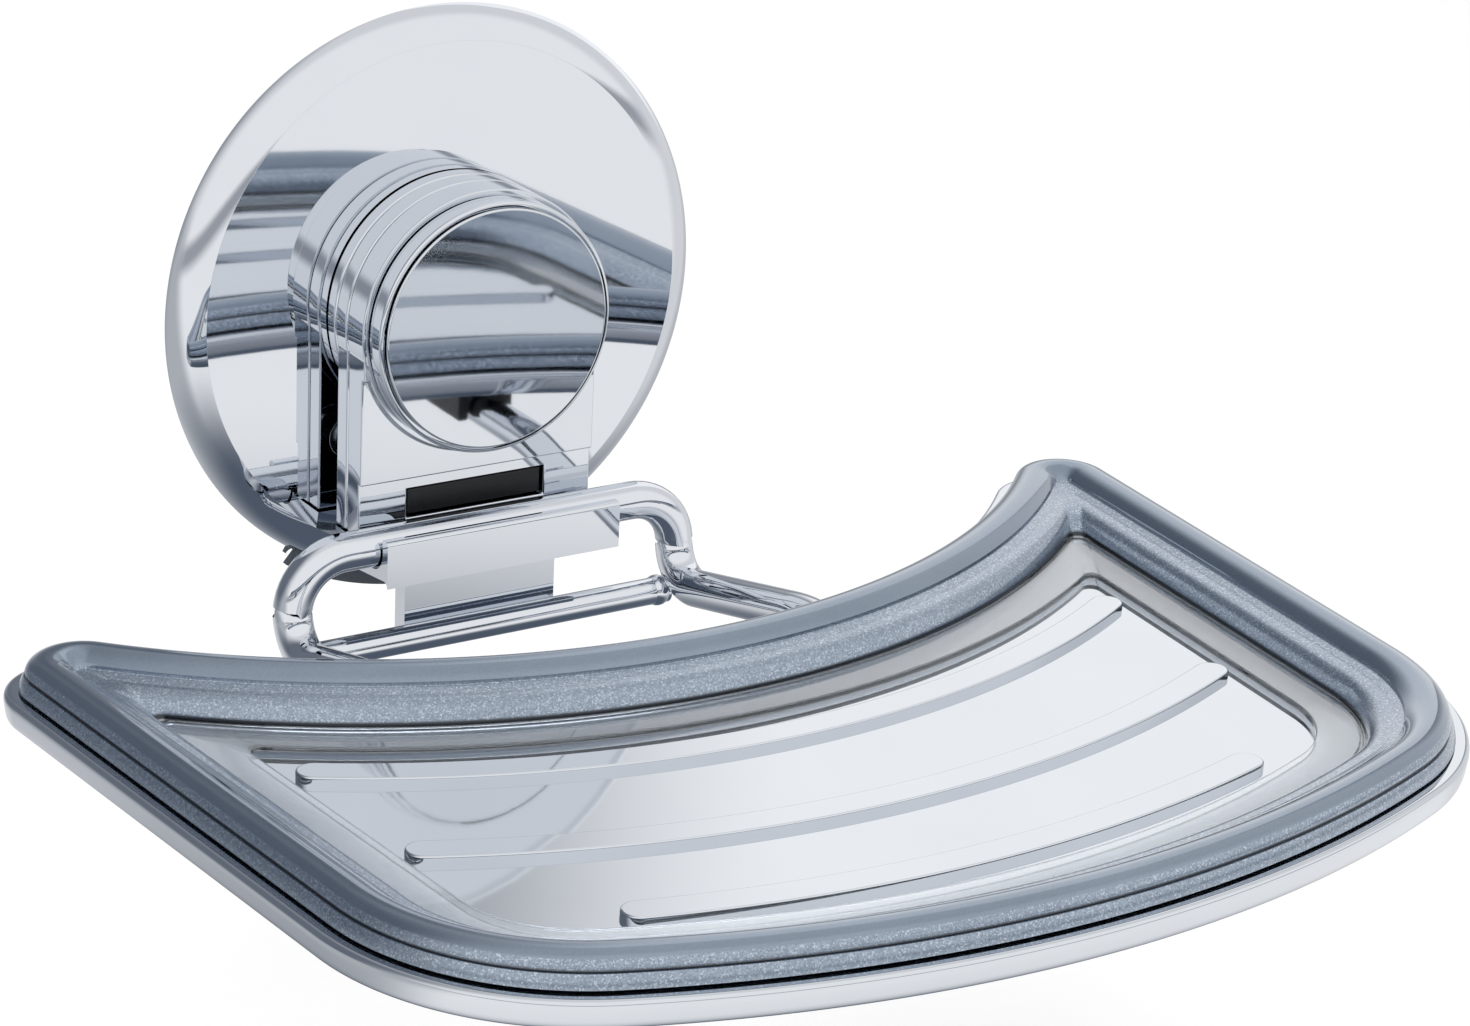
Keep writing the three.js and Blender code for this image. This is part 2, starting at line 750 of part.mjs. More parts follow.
// A body whose level sections are insets of the tray's outline, given as rows of inset and height.
// Where the rows close on themselves the body is a rim, and otherwise its two ends are capped.
function trayLoft(rows, closed) {
  const rings = rows.map(([inset]) => trayOutline(inset));
  const count = rings[0].length;
  const points = [];
  const faces = [];
  rings.forEach((ring, row) => ring.forEach((point) => points.push(point.x, point.y, rows[row][1])));
  const last = closed ? rows.length : rows.length - 1;
  for (let row = 0; row < last; row += 1) {
    const low = row * count;
    const high = ((row + 1) % rows.length) * count;
    for (let i = 0; i < count; i += 1) {
      const next = (i + 1) % count;
      faces.push(low + i, low + next, high + next, low + i, high + next, high + i);
    }
  }
  if (!closed) {
    const top = (rows.length - 1) * count;
    for (const face of THREE.ShapeUtils.triangulateShape(rings[0], [])) {
      faces.push(face[0], face[2], face[1]);
    }
    for (const face of THREE.ShapeUtils.triangulateShape(rings[rows.length - 1], [])) {
      faces.push(top + face[0], top + face[1], top + face[2]);
    }
  }
  const geometry = new THREE.BufferGeometry();
  geometry.setAttribute('position', new THREE.Float32BufferAttribute(points, 3));
  geometry.setIndex(faces);
  return geometry;
}

// A curved rib with round ends, on a circle about the centre of the hollow back. It starts within the floor.
function floorRib({ radius, halfSpan }) {
  const turn = Math.asin(halfSpan / radius);
  const middle = -Math.PI / 2;
  const round = ribWidth / 2;
  const root = floorThickness / 2;
  const shape = new THREE.Shape();
  const end = (angle) => [radius * Math.cos(angle), backArcCentreY + radius * Math.sin(angle)];
  shape.absarc(0, backArcCentreY, radius + round, middle - turn, middle + turn, false);
  shape.absarc(...end(middle + turn), round, middle + turn, middle + turn + Math.PI, false);
  shape.absarc(0, backArcCentreY, radius - round, middle + turn, middle - turn, true);
  shape.absarc(...end(middle - turn), round, middle - turn + Math.PI, middle - turn + Math.PI * 2, false);
  const geometry = new THREE.ExtrudeGeometry(shape, {
    depth: root + ribHeight,
    bevelEnabled: false,
    curveSegments: 12,
  });
  geometry.translate(0, 0, floorTopZ - root);
  return geometry;
}

function trayBase() {
  const noseSteps = 8;
  const nose = [];
  for (let i = 0; i <= noseSteps; i += 1) {
    const share = i / noseSteps;
    const swell = Math.sin(share * Math.PI);
    nose.push([(1 - share) * rimEdgeInset - bandBulge * swell, bandBottomZ + bandHeight * share]);
  }
  const shell = trayLoft([
    [bandFoot + floorThickness, trayBottomZ], [bandFoot, bandBottomZ], ...nose,
    [bandWall, bandTopZ], [bandWall, floorTopZ],
  ], false);
  return join(shell, ...ribs.map(floorRib));
}

// The rim's section, as rows of inset and height: a steep outer face with a fine groove, a rounded crown,
// a brow with a step below it, a swelling inner wall and a thin ledge on the floor
function trayRim() {
  const lipZ = bandTopZ + seatGap;
  const seatZ = floorTopZ + seatGap;
  const ledgeZ = seatZ + rimLedgeThickness;
  const browZ = rimCrestZ - rimBrowDrop;
  const stepInset = rimBrowInset + rimStepWidth;
  const stepZ = browZ - rimStepDrop;
  const footInset = stepInset + rimWallReach;
  const shoulder = [rimShoulderInset, rimCrestZ - rimShoulderDrop];
  const grooveTop = [rimGrooveInset, rimCrestZ - rimGrooveDrop];
  const grooveFoot = [grooveTop[0] - rimGrooveWidth / 4, grooveTop[1] - rimGrooveWidth];
  const spigot = bandWall + seatGap;
  const ceilingZ = rimCrestZ - rimWall - seatGap;
  return trayLoft([
    [rimEdgeInset, lipZ],
    grooveFoot,
    [grooveFoot[0] + rimGrooveDepth, grooveFoot[1]],
    [grooveTop[0] + rimGrooveDepth, grooveTop[1] - rimGrooveWidth / 4],
    grooveTop,
    ...curveRows(shoulder, [rimShoulderInset + rimWall / 2, rimCrestZ], [rimCrestInset, rimCrestZ], 3),
    ...curveRows([rimCrestInset, rimCrestZ], [rimBrowInset - rimWall, rimCrestZ], [rimBrowInset, browZ], 4).slice(1),
    ...curveRows([stepInset, stepZ], [footInset - rimWall / 2, stepZ], [footInset, ledgeZ], 4),
    [footInset + rimLedgeWidth, ledgeZ],
    [footInset + rimLedgeWidth, seatZ],
    [footInset - rimWall, seatZ],
    [stepInset, stepZ - rimWall],
    [rimBrowInset - rimWall, ceilingZ],
    [spigot + rimWall, ceilingZ],
    [spigot + rimWall, seatZ],
    [spigot, seatZ],
    [spigot, lipZ],
  ], true);
}

// Saddles that straddle the frame's runners

function traySaddle(x, y) {
  const inner = barRadius + seatGap;
  const outer = inner + saddleWall;
  const top = trayBottomZ - seatGap;
  const low = runnerZ - saddleReach;
  const section = new THREE.Shape();
  section.moveTo(-outer, low);
  section.lineTo(-inner, low);
  section.lineTo(-inner, runnerZ);
  section.absarc(0, runnerZ, inner, Math.PI, 0, true);
  section.lineTo(inner, low);
  section.lineTo(outer, low);
  section.lineTo(outer, top);
  section.lineTo(-outer, top);
  section.closePath();
  const geometry = new THREE.ExtrudeGeometry(section, {
    depth: saddleLength,
    bevelEnabled: false,
    curveSegments: 8,
  });
  geometry.rotateX(Math.PI / 2);
  geometry.translate(x, y + saddleLength / 2, 0);
  return geometry;
}

function trayFoot(x, y, turn) {
  const round = footWidth / 2;
  const straight = footLength / 2 - round;
  const shape = new THREE.Shape();
  shape.absarc(straight, 0, round, -Math.PI / 2, Math.PI / 2, false);
  shape.absarc(-straight, 0, round, Math.PI / 2, Math.PI / 2 + Math.PI, false);
  const geometry = new THREE.ExtrudeGeometry(shape, {
    depth: footHeight - edgeBevel - edgeBevel,
    bevelEnabled: true,
    bevelThickness: edgeBevel,
    bevelSize: edgeBevel,
    bevelOffset: -edgeBevel,
    bevelSegments: 1,
    curveSegments: 6,
  });
  geometry.rotateZ(turn);
  geometry.translate(x, y, trayBottomZ - seatGap - footHeight + edgeBevel);
  return geometry;
}

function sideFoot(side) {
  return trayFoot(side * (sideLineX(sideFootY) - footInset), sideFootY, Math.PI / 2 - side * sideTaper);
}

function frontFoot(side) {
  return trayFoot(side * frontFootX, trayFrontY + frontFootInset, side * Math.asin(frontFootX / frontArcRadius));
}

// Materials

function finish(color, roughness, metalness) {
  return new THREE.MeshStandardMaterial({ color, roughness, metalness });
}

const chrome = () => finish(0xd9dde2, 0.06, 1);
const wireChrome = () => finish(0xcfd4da, 0.08, 1);
const smokyClear = () => Object.assign(finish(0x7c8ea0, 0.12, 0), { transparent: true, opacity: 0.6 });
const softGrey = () => finish(0x5f666d, 0.6, 0);
const blackRubber = () => finish(0x141516, 0.7, 0);
const whitePlastic = () => finish(0xe8e9ea, 0.45, 0);
const brass = () => finish(0xb08d45, 0.3, 1);
const steel = () => finish(0xa9adb2, 0.3, 1);

function piece(name, geometry, material) {
  const mesh = new THREE.Mesh(closedBody(geometry), material);
  mesh.name = name;
  return mesh;
}

function forBothSides(name, shapeOf, material) {
  return Object.entries(sides).map(([word, side]) => piece(`${name}_${word}`, shapeOf(side), material()));
}

function group(...members) {
  const holder = new THREE.Group();
  holder.add(...members);
  return holder;
}

const cup = group(
  piece('suction_pad', suctionPad(), softGrey()),
  piece('pressure_ring', pressureRing(), whitePlastic()),
  piece('cover', cover(), chrome()),
  piece('collar', collar(), chrome()),
  piece('pad_stud', padStud(), steel()),
);

const knob = group(
  piece('slip_washer', slipWasher(), whitePlastic()),
  piece('knob_body', knobBody(), chrome()),
  piece('knob_nut', knobNut(), brass()),
  piece('knob_cap', knobCap(), chrome()),
);

const bracket = group(
  piece('bracket_back', bracketBack(), chrome()),
  piece('bracket_front', bracketFront(), chrome()),
  piece('window_pad', windowPad(), blackRubber()),
  piece('hook_block', hookBlock(), chrome()),
  ...forBothSides('bracket_screw', bracketScrew, steel),
  ...forBothSides('hook_screw', hookScrew, steel),
);

const dish = group(
  piece('tray_base', trayBase(), chrome()),
  piece('tray_rim', trayRim(), smokyClear()),
  ...forBothSides('rear_saddle', (side) => traySaddle(side * legX, rearSaddleY), blackRubber),
  ...forBothSides('front_saddle', (side) => traySaddle(side * legX, frontSaddleY), blackRubber),
  ...forBothSides('side_foot', sideFoot, softGrey),
  ...forBothSides('front_foot', frontFoot, softGrey),
);

const frame = group(
  piece('wire_frame', wireFrame(), wireChrome()),
  piece('cross_wire', crossWire(), wireChrome()),
);

const soapDish = group(cup, knob, bracket, frame, dish);
soapDish.name = 'suction_soap_dish';

export default soapDish;
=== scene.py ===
# A chrome soap dish that hooks on a screw-down suction cup on a tiled wall.
# The wall is the plane y = 0, the dish stands out toward -Y, +Z is up, and Blender's unit is the metre.
import math

import bmesh
import bpy
from mathutils import Matrix, Vector


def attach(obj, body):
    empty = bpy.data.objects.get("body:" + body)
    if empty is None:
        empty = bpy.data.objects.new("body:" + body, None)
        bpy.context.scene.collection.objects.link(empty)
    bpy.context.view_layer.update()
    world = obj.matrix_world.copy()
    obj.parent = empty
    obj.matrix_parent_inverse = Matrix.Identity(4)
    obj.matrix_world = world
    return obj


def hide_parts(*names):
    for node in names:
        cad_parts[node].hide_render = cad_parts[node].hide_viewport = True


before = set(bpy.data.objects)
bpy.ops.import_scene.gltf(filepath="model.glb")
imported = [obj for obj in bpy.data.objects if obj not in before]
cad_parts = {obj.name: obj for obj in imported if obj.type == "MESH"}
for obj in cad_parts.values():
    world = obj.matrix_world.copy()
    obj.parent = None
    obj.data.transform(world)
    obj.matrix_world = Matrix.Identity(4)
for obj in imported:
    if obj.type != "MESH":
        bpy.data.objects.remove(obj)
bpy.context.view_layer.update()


# Suction pad: one moulding of soft grey PVC that lies flat on the tile. Its hub is moulded round the
# head of the stud, and the tab below its rim is what a finger lifts to let air in. It comes out of a
# polished mould, so it is smooth and slightly clouded.
MM = 0.001
TURN = 2 * math.pi
GAP = 0.3


def arc(centre, radius, start, end, steps):
    """Points along an arc, both ends included."""
    return [
        (
            centre[0] + radius * math.cos(start + (end - start) * i / steps),
            centre[1] + radius * math.sin(start + (end - start) * i / steps),
        )
        for i in range(steps + 1)
    ]


def filleted(corners, closed=True, steps=5):
    """The outline through the corners. A corner's third number is the radius that is to round it.
    Known fault: at a corner of about 90 degrees or less the arc can turn the wrong way, which leaves
    a small fold there instead of a round. The sign of the sweep should come from the turn between
    before and after, and not from first and after."""
    outline = []
    for i, corner in enumerate(corners):
        here = Vector(corner[:2])
        inside = closed or 0 < i < len(corners) - 1
        if len(corner) == 2 or not inside:
            outline.append(tuple(here))
            continue
        before = (Vector(corners[i - 1][:2]) - here).normalized()
        after = (Vector(corners[(i + 1) % len(corners)][:2]) - here).normalized()
        half = before.angle(after) / 2
        centre = here + (before + after).normalized() * corner[2] / math.sin(half)
        first = here + before * corner[2] / math.tan(half) - centre
        sweep = math.copysign(math.pi - 2 * half, first.x * after.y - first.y * after.x)
        for step in range(steps + 1):
            spoke = Matrix.Rotation(sweep * step / steps, 2) @ first
            outline.append(tuple(centre + spoke))
    return outline


def piece_from(name, shape):
    """An object from a mesh in the making, with its faces turned outward."""
    bmesh.ops.remove_doubles(shape, verts=shape.verts, dist=1e-7)
    bmesh.ops.recalc_face_normals(shape, faces=shape.faces)
    mesh = bpy.data.meshes.new(name)
    shape.to_mesh(mesh)
    shape.free()
    piece = bpy.data.objects.new(name, mesh)
    bpy.context.scene.collection.objects.link(piece)
    return piece


def turned(name, rows, closed=True, segments=192):
    """A form turned about the cup's axis, from rows of radius and depth from the wall."""
    shape = bmesh.new()
    rings = []
    for radius, depth in rows:
        spots = segments if radius > 0 else 1
        rings.append([
            shape.verts.new((
                radius * math.cos(TURN * i / segments) * MM,
                -depth * MM,
                radius * math.sin(TURN * i / segments) * MM,
            ))
            for i in range(spots)
        ])
    pairs = list(zip(rings, rings[1:])) + ([(rings[-1], rings[0])] if closed else [])
    for one, two in pairs:
        if len(one) == len(two) == 1:
            continue
        for i in range(segments):
            j = (i + 1) % segments
            corners = [one[i % len(one)], one[j % len(one)], two[j % len(two)], two[i % len(two)]]
            shape.faces.new(list(dict.fromkeys(corners)))
    return piece_from(name, shape)


def prism(name, outline, low, high, place):
    """A straight form between two levels of an outline. place turns (u, v, level) into (x, y, z)."""
    shape = bmesh.new()
    ends = [
        [shape.verts.new(Vector(place(u, v, level)) * MM) for u, v in outline] for level in (low, high)
    ]
    shape.faces.new(ends[0])
    shape.faces.new(ends[1])
    for i in range(len(outline)):
        j = (i + 1) % len(outline)
        shape.faces.new([ends[0][i], ends[0][j], ends[1][j], ends[1][i]])
    return piece_from(name, shape)


def off_wall(u, v, depth):
    return (u, -depth, v)


def settle(piece):
    """Makes the modifiers part of the mesh."""
    depsgraph = bpy.context.evaluated_depsgraph_get()
    mesh = bpy.data.meshes.new_from_object(piece.evaluated_get(depsgraph))
    piece.modifiers.clear()
    piece.data = mesh
    return piece


def combine(piece, tools, operation="DIFFERENCE"):
    """Cuts the tools out of a piece, or joins them to it, and drops the tools."""
    for tool in tools:
        step = piece.modifiers.new("combine", "BOOLEAN")
        step.operation = operation
        step.solver = "EXACT"
        step.object = tool
    settle(piece)
    for tool in tools:
        bpy.data.objects.remove(tool)
    return piece


def ease(piece, width, segments=3, angle=40):
    """Rounds the piece's sharp edges."""
    edge = piece.modifiers.new("ease", "BEVEL")
    edge.width = width * MM
    edge.segments = segments
    edge.limit_method = "ANGLE"
    edge.angle_limit = math.radians(angle)
    return settle(piece)


def put(tree, kind, inputs=None, **settings):
    """Adds a node with its settings, and its inputs as values or links."""
    node = tree.nodes.new(kind)
    for key, value in settings.items():
        setattr(node, key, value)
    for key, value in (inputs or {}).items():
        if isinstance(value, bpy.types.NodeSocket):
            tree.links.new(value, node.inputs[key])
        else:
            node.inputs[key].default_value = value
    return node


def linear(code):
    """An sRGB hex colour as linear red, green, blue and alpha."""
    channels = [int(code[i:i + 2], 16) / 255 for i in (1, 3, 5)]
    return [c / 12.92 if c <= 0.04045 else ((c + 0.055) / 1.055) ** 2.4 for c in channels] + [1]


def surface(name, dark, light, patch, roughness, relief=(0, 1), **shader):
    """A material whose colour and gloss drift between two ends in patches of a size in millimetres.
    relief is the depth and the grain size of its bumps, in millimetres."""
    material = bpy.data.materials.new(name)
    material.use_nodes = True
    tree = material.node_tree
    tree.nodes.clear()
    where = put(tree, "ShaderNodeTexCoord").outputs["Object"]
    drift = put(tree, "ShaderNodeTexNoise", {"Vector": where, "Scale": 1 / (patch * MM), "Detail": 3})
    amount = drift.outputs["Fac"]
    tint = put(
        tree, "ShaderNodeMix",
        {"Factor": amount, "A": linear(dark), "B": linear(light)},
        data_type="RGBA",
    )
    gloss = put(
        tree, "ShaderNodeMapRange",
        {"Value": amount, "To Min": roughness[0], "To Max": roughness[1]},
    )
    coat = put(tree, "ShaderNodeBsdfPrincipled", {
        "Base Color": tint.outputs["Result"],
        "Roughness": gloss.outputs["Result"],
        **{key.replace("_", " "): value for key, value in shader.items()},
    })
    if relief[0]:
        grain = put(tree, "ShaderNodeTexNoise", {"Vector": where, "Scale": 1 / (relief[1] * MM), "Detail": 2})
        bump = put(tree, "ShaderNodeBump", {
            "Height": grain.outputs["Fac"], "Distance": relief[0] * MM, "Strength": 1,
        })
        tree.links.new(bump.outputs["Normal"], coat.inputs["Normal"])
    put(tree, "ShaderNodeOutputMaterial", {"Surface": coat.outputs["BSDF"]})
    return material


def fit(piece, body, slot, material, *nodes):
    """Smooths a finished piece, gives it its finish and lets it stand for its solids."""
    piece.data.materials.clear()
    piece.data.materials.append(material)
    piece.data.shade_smooth()
    piece.data.set_sharp_from_angle(angle=math.radians(35))
    flats = piece.modifiers.new("flats", "WEIGHTED_NORMAL")
    flats.keep_sharp = True
    settle(piece)
    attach(piece, body)
    if nodes:
        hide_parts(*nodes)
    return piece


# Soft PVC: a dark smoky grey, a little clouded, with the sheen of a polished mould
soft_pvc = surface(
    "soft grey PVC, moulded", "#4a525a", "#5b646d", 9, (0.28, 0.4), relief=(0.02, 1.2),
    Transmission_Weight=0.25, IOR=1.53,
)

PAD_RADIUS = 37
PAD_EDGE = 1
PAD_ROOT = 1.3
HUB_RADIUS = 12.5
HUB_ROOT = 1.8
HUB_TOP = 4.85
HEAD_ROOM_RADIUS = 9.8
HEAD_ROOM = (1, 3.85)
STUD_HOLE = 3.2
TAB_RADIUS = 40.2
TAB_HALF_WIDTH = 21.5
TAB_INNER = 33
TAB_CORNER = 1.3
TAB_STEPS = 48
tab_turn = math.asin(TAB_HALF_WIDTH / TAB_RADIUS)
pad_disc = turned("suction_pad_grey", filleted([
    (0, 0), (PAD_RADIUS, 0, 0.3), (PAD_RADIUS, PAD_EDGE, 0.4), (15.6, PAD_ROOT, 2),
    (HUB_RADIUS, HUB_ROOT, 0.8), (HUB_RADIUS, HUB_TOP, 0.6), (STUD_HOLE, HUB_TOP, 0.2),
    (STUD_HOLE, HEAD_ROOM[1], 0.2), (HEAD_ROOM_RADIUS, HEAD_ROOM[1], 0.3),
    (HEAD_ROOM_RADIUS, HEAD_ROOM[0], 0.3), (0, HEAD_ROOM[0]),
]))
tab_outer = arc((0, 0), TAB_RADIUS, -TURN / 4 - tab_turn, -TURN / 4 + tab_turn, TAB_STEPS)
tab_inner = arc((0, 0), TAB_INNER, -TURN / 4 + tab_turn, -TURN / 4 - tab_turn, TAB_STEPS)
tab_outline = [*tab_outer, *tab_inner]
for corner in (0, TAB_STEPS):
    tab_outline[corner] = (*tab_outline[corner], TAB_CORNER)
pad_tab = prism("tab", filleted(tab_outline, steps=6), 0.02, PAD_EDGE, off_wall)
ease(pad_tab, 0.3, angle=60)
fit(combine(pad_disc, [pad_tab], "UNION"), "cup", "pad_grey", soft_pvc, "suction_pad")


# Pressure ring, slip washer and stud: a stiff white ring in the cover holds the pad's edge down, and a
# white washer lies between the bracket and the knob. A zinc-plated steel rod with a wide head, moulded
# into the pad, is what the knob's nut pulls on.
white_resin = surface("white POM, moulded", "#dcdcd8", "#e8e8e5", 6, (0.4, 0.5), relief=(0.01, 0.6))
zinc_plate = surface("steel, bright zinc plate", "#9ea3a8", "#b4b8bc", 2, (0.28, 0.36), Metallic=1)


def dress(node, slot_material):
    """Gives a hidden solid its real finish."""
    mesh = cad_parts[node].data
    mesh.materials.clear()
    mesh.materials.append(slot_material)


dress("pressure_ring", white_resin)
dress("slip_washer", white_resin)
dress("pad_stud", zinc_plate)


# Cover: a shell pressed from thin steel and chromed to a mirror. It hides the pad and its rolled edge
# presses the ring down. Its face is flat, with a crisp crease where it turns to the swelling side.
chrome = surface(
    "bright chrome on steel, polished", "#dbdfe5", "#e2e5ea", 30, (0.015, 0.04), relief=(0.0015, 7),
    Metallic=1,
)

COVER_RADIUS = 38
COVER_BACK = 1.4
COVER_FACE = 4.9
COVER_WALL = 1.2
COVER_HOLE = 13.1
SIDE_REACH = 4.2
SIDE_LEAN = 1
SHOULDER = 2.5


def curve(start, pull, end, steps):
    """Points of a curve from one spot to another, pulled toward a third."""
    return [
        tuple(
            (1 - t) ** 2 * a + 2 * t * (1 - t) * b + t ** 2 * c for a, b, c in zip(start, pull, end)
        )
        for t in (i / steps for i in range(steps + 1))
    ]


def cover_side(shift):
    """The swelling side of the cover, from its open edge to the crease at its face."""
    return curve(
        (COVER_RADIUS - shift, COVER_BACK),
        (COVER_RADIUS - SIDE_LEAN - shift, COVER_BACK + SHOULDER - shift),
        (COVER_RADIUS - SIDE_REACH - shift, COVER_FACE - shift), 24,
    )


outside = cover_side(0)
inside = cover_side(COVER_WALL)
cover = turned("round_cover", filleted([
    (*outside[0], 0.2), *outside[1:-1], (*outside[-1], 0.12), (COVER_HOLE, COVER_FACE, 0.25),
    (COVER_HOLE, COVER_FACE - COVER_WALL, 0.25), *inside[::-1],
]), segments=256)
fit(cover, "cup", "chromed_steel", chrome, "cover")


# Collar: a moulded ABS boss with bright chrome plate, fixed on the cover. Its neck goes through the
# bracket, so the bracket turns on it. Plate on plastic is a little softer to the eye than on steel.
plated_abs = surface(
    "bright chrome on ABS, moulded", "#d8dce2", "#dfe3e8", 18, (0.02, 0.05), relief=(0.002, 5),
    Metallic=1,
)

RING_RADIUS = 17.2
COLLAR_BACK = 5.2
COLLAR_WEB = 5.9
COLLAR_FACE = 7
COLLAR_INNER = 15.6
NECK_RADIUS = 6
NECK_BORE = 3.4
NECK_END = 12.3
collar = turned("plated_collar", filleted([
    (RING_RADIUS, COLLAR_BACK), (RING_RADIUS, COLLAR_FACE, 0.4), (NECK_RADIUS, COLLAR_FACE, 0.15),
    (NECK_RADIUS, NECK_END, 0.3), (NECK_BORE, NECK_END, 0.3), (NECK_BORE, COLLAR_WEB),
    (COLLAR_INNER, COLLAR_WEB), (COLLAR_INNER, COLLAR_BACK),
]))
fit(collar, "cup", "chrome_plated_plastic", plated_abs, "collar")


# Bracket: two keyhole-shaped ABS mouldings, plated, with screws between them. The front one has the
# ring that the knob sits in, and a step and a window at the foot of its tongue.
TONGUE_HALF = 16.9
TONGUE_FOOT = -27
BACK_LAYER = 7.3
BACK_FACE = 10.1
FRONT_LAYER = 10.4
TONGUE_FACE = 14
RING_FACE = 14.6
STEP_Z = -19.9
STEP_DEPTH = 0.5
WINDOW_HALF = 10
WINDOW_Z = (-25.3, -21.3)
WINDOW_PAD_SINK = 0.9
COUNTERBORE_RADIUS = 8.4
COUNTERBORE_FLOOR = 11.4
SCREW_SEAT_RADIUS = 2.6
SCREW_SEAT_DEPTH = 1.6
# The raised ring stands free of the tongue from this turn, in radians, past the tongue's corner
RING_FREE_TURN = 0.16
CUT_OVERRUN = 1
CUTTER_MARGIN = 3


def keyhole():
    """The bracket's outline: a ring with a straight tongue below it."""
    low = math.acos(TONGUE_HALF / RING_RADIUS)
    return [
        (-TONGUE_HALF, TONGUE_FOOT),
        (TONGUE_HALF, TONGUE_FOOT),
        *arc((0, 0), RING_RADIUS, -low, math.pi + low, 120),
    ]


def rod(name, radius, centre, low, high, place):
    """A round bar between two levels, as a cutting tool."""
    sides = 64
    return prism(name, arc(centre, radius, 0, TURN * (1 - 1 / sides), sides - 1), low, high, place)


def slab(name, low, high):
    """A plain block between two corners, each given as x, depth from the wall and z."""
    outline = [(low[0], low[2]), (high[0], low[2]), (high[0], high[2]), (low[0], high[2])]
    return prism(name, outline, low[1], high[1], off_wall)


SCREW_X = 12.6
SCREW_Z = -17.6

bracket_back = prism("bracket_back_layer", keyhole(), BACK_LAYER, BACK_FACE, off_wall)
combine(bracket_back, [
    rod("bore", NECK_RADIUS + GAP, (0, 0), BACK_LAYER - CUT_OVERRUN, BACK_FACE + CUT_OVERRUN, off_wall),
    *[
        rod("seat", SCREW_SEAT_RADIUS, (side * SCREW_X, SCREW_Z),
            BACK_LAYER - CUT_OVERRUN, BACK_LAYER + SCREW_SEAT_DEPTH, off_wall)
        for side in (-1, 1)
    ],
])
ease(bracket_back, 0.35)
fit(bracket_back, "bracket", "chrome_plated_plastic", plated_abs, "bracket_back")

bracket_front = prism("bracket_front_layer", keyhole(), FRONT_LAYER, RING_FACE, off_wall)
ring_low = math.acos(TONGUE_HALF / RING_RADIUS) + RING_FREE_TURN
below_ring = prism("below ring", [
    *arc((0, 0), RING_RADIUS - 0.02, -ring_low, -math.pi + ring_low, 90),
    (-RING_RADIUS - CUTTER_MARGIN, -RING_RADIUS * math.sin(ring_low)),
    (-RING_RADIUS - CUTTER_MARGIN, TONGUE_FOOT - CUTTER_MARGIN),
    (RING_RADIUS + CUTTER_MARGIN, TONGUE_FOOT - CUTTER_MARGIN),
    (RING_RADIUS + CUTTER_MARGIN, -RING_RADIUS * math.sin(ring_low)),
], TONGUE_FACE, RING_FACE + CUT_OVERRUN, off_wall)
combine(bracket_front, [
    below_ring,
    rod("bore", NECK_RADIUS + GAP, (0, 0), FRONT_LAYER - CUT_OVERRUN, RING_FACE + CUT_OVERRUN, off_wall),
    rod("counterbore", COUNTERBORE_RADIUS, (0, 0), COUNTERBORE_FLOOR, RING_FACE + CUT_OVERRUN, off_wall),
    slab("step", (-20, TONGUE_FACE - STEP_DEPTH, -30), (20, TONGUE_FACE + 2, STEP_Z)),
    slab(
        "window", (-WINDOW_HALF, FRONT_LAYER - CUT_OVERRUN, WINDOW_Z[0]),
        (WINDOW_HALF, TONGUE_FACE + 2, WINDOW_Z[1]),
    ),
])
ease(bracket_front, 0.3)
fit(bracket_front, "bracket", "chrome_plated_plastic", plated_abs, "bracket_front")

# Black nitrile: matt, with a fine skin from its mould
nitrile = surface("black nitrile rubber", "#0d0e10", "#17191b", 4, (0.35, 0.5), relief=(0.03, 0.5))
window_pad = slab(
    "window_rubber", (-WINDOW_HALF + GAP, FRONT_LAYER, WINDOW_Z[0] + GAP),
    (WINDOW_HALF - GAP, TONGUE_FACE - WINDOW_PAD_SINK, WINDOW_Z[1] - GAP),
)
ease(window_pad, 0.25)
fit(window_pad, "bracket", "black_rubber", nitrile, "window_pad")


# Hook: a plated ABS block screwed up under the tongue. The frame's top bar lies in its open trough,
# and the heel below keeps the frame's cross wire off the wall, which holds the tray level.
BAR_RADIUS = 2.5
BAR_DEPTH = 17.4
BAR_Z = -26.7
LIP_TOP = -24.8
LIP_WALL = 1.3
HOOK_FLOOR = -31.8
HOOK_SHELF = -27.3
HEEL_FOOT = -42.3
HEEL_FACE = 15.3
HEEL_HALF = 11
HEEL_THICKNESS = 2.6
HEEL_ROOT = 1.1
trough = BAR_RADIUS + GAP
lip_inner = BAR_DEPTH + trough
hook_section = [
    *filleted([
        (lip_inner, LIP_TOP, 0.6), (lip_inner + LIP_WALL, LIP_TOP, 0.6),
        (lip_inner + LIP_WALL, HOOK_FLOOR, 0.8),
        (BACK_LAYER, HOOK_FLOOR, 0.5), (BACK_LAYER, HOOK_SHELF), (TONGUE_FACE + GAP, HOOK_SHELF),
        (TONGUE_FACE + GAP, HOOK_SHELF + GAP), (BAR_DEPTH - trough, HOOK_SHELF + GAP),
    ]),
    *arc((BAR_DEPTH, BAR_Z), trough, math.pi, TURN, 24)[1:],
]


def across(depth, z, x):
    return (x, -depth, z)


hook = prism("hook_trough", hook_section, -TONGUE_HALF, TONGUE_HALF, across)
heel = slab(
    "heel", (-HEEL_HALF, HEEL_FACE - HEEL_THICKNESS, HEEL_FOOT),
    (HEEL_HALF, HEEL_FACE, HOOK_FLOOR + HEEL_ROOT),
)


def upright(u, v, z):
    return (u, -v, z)


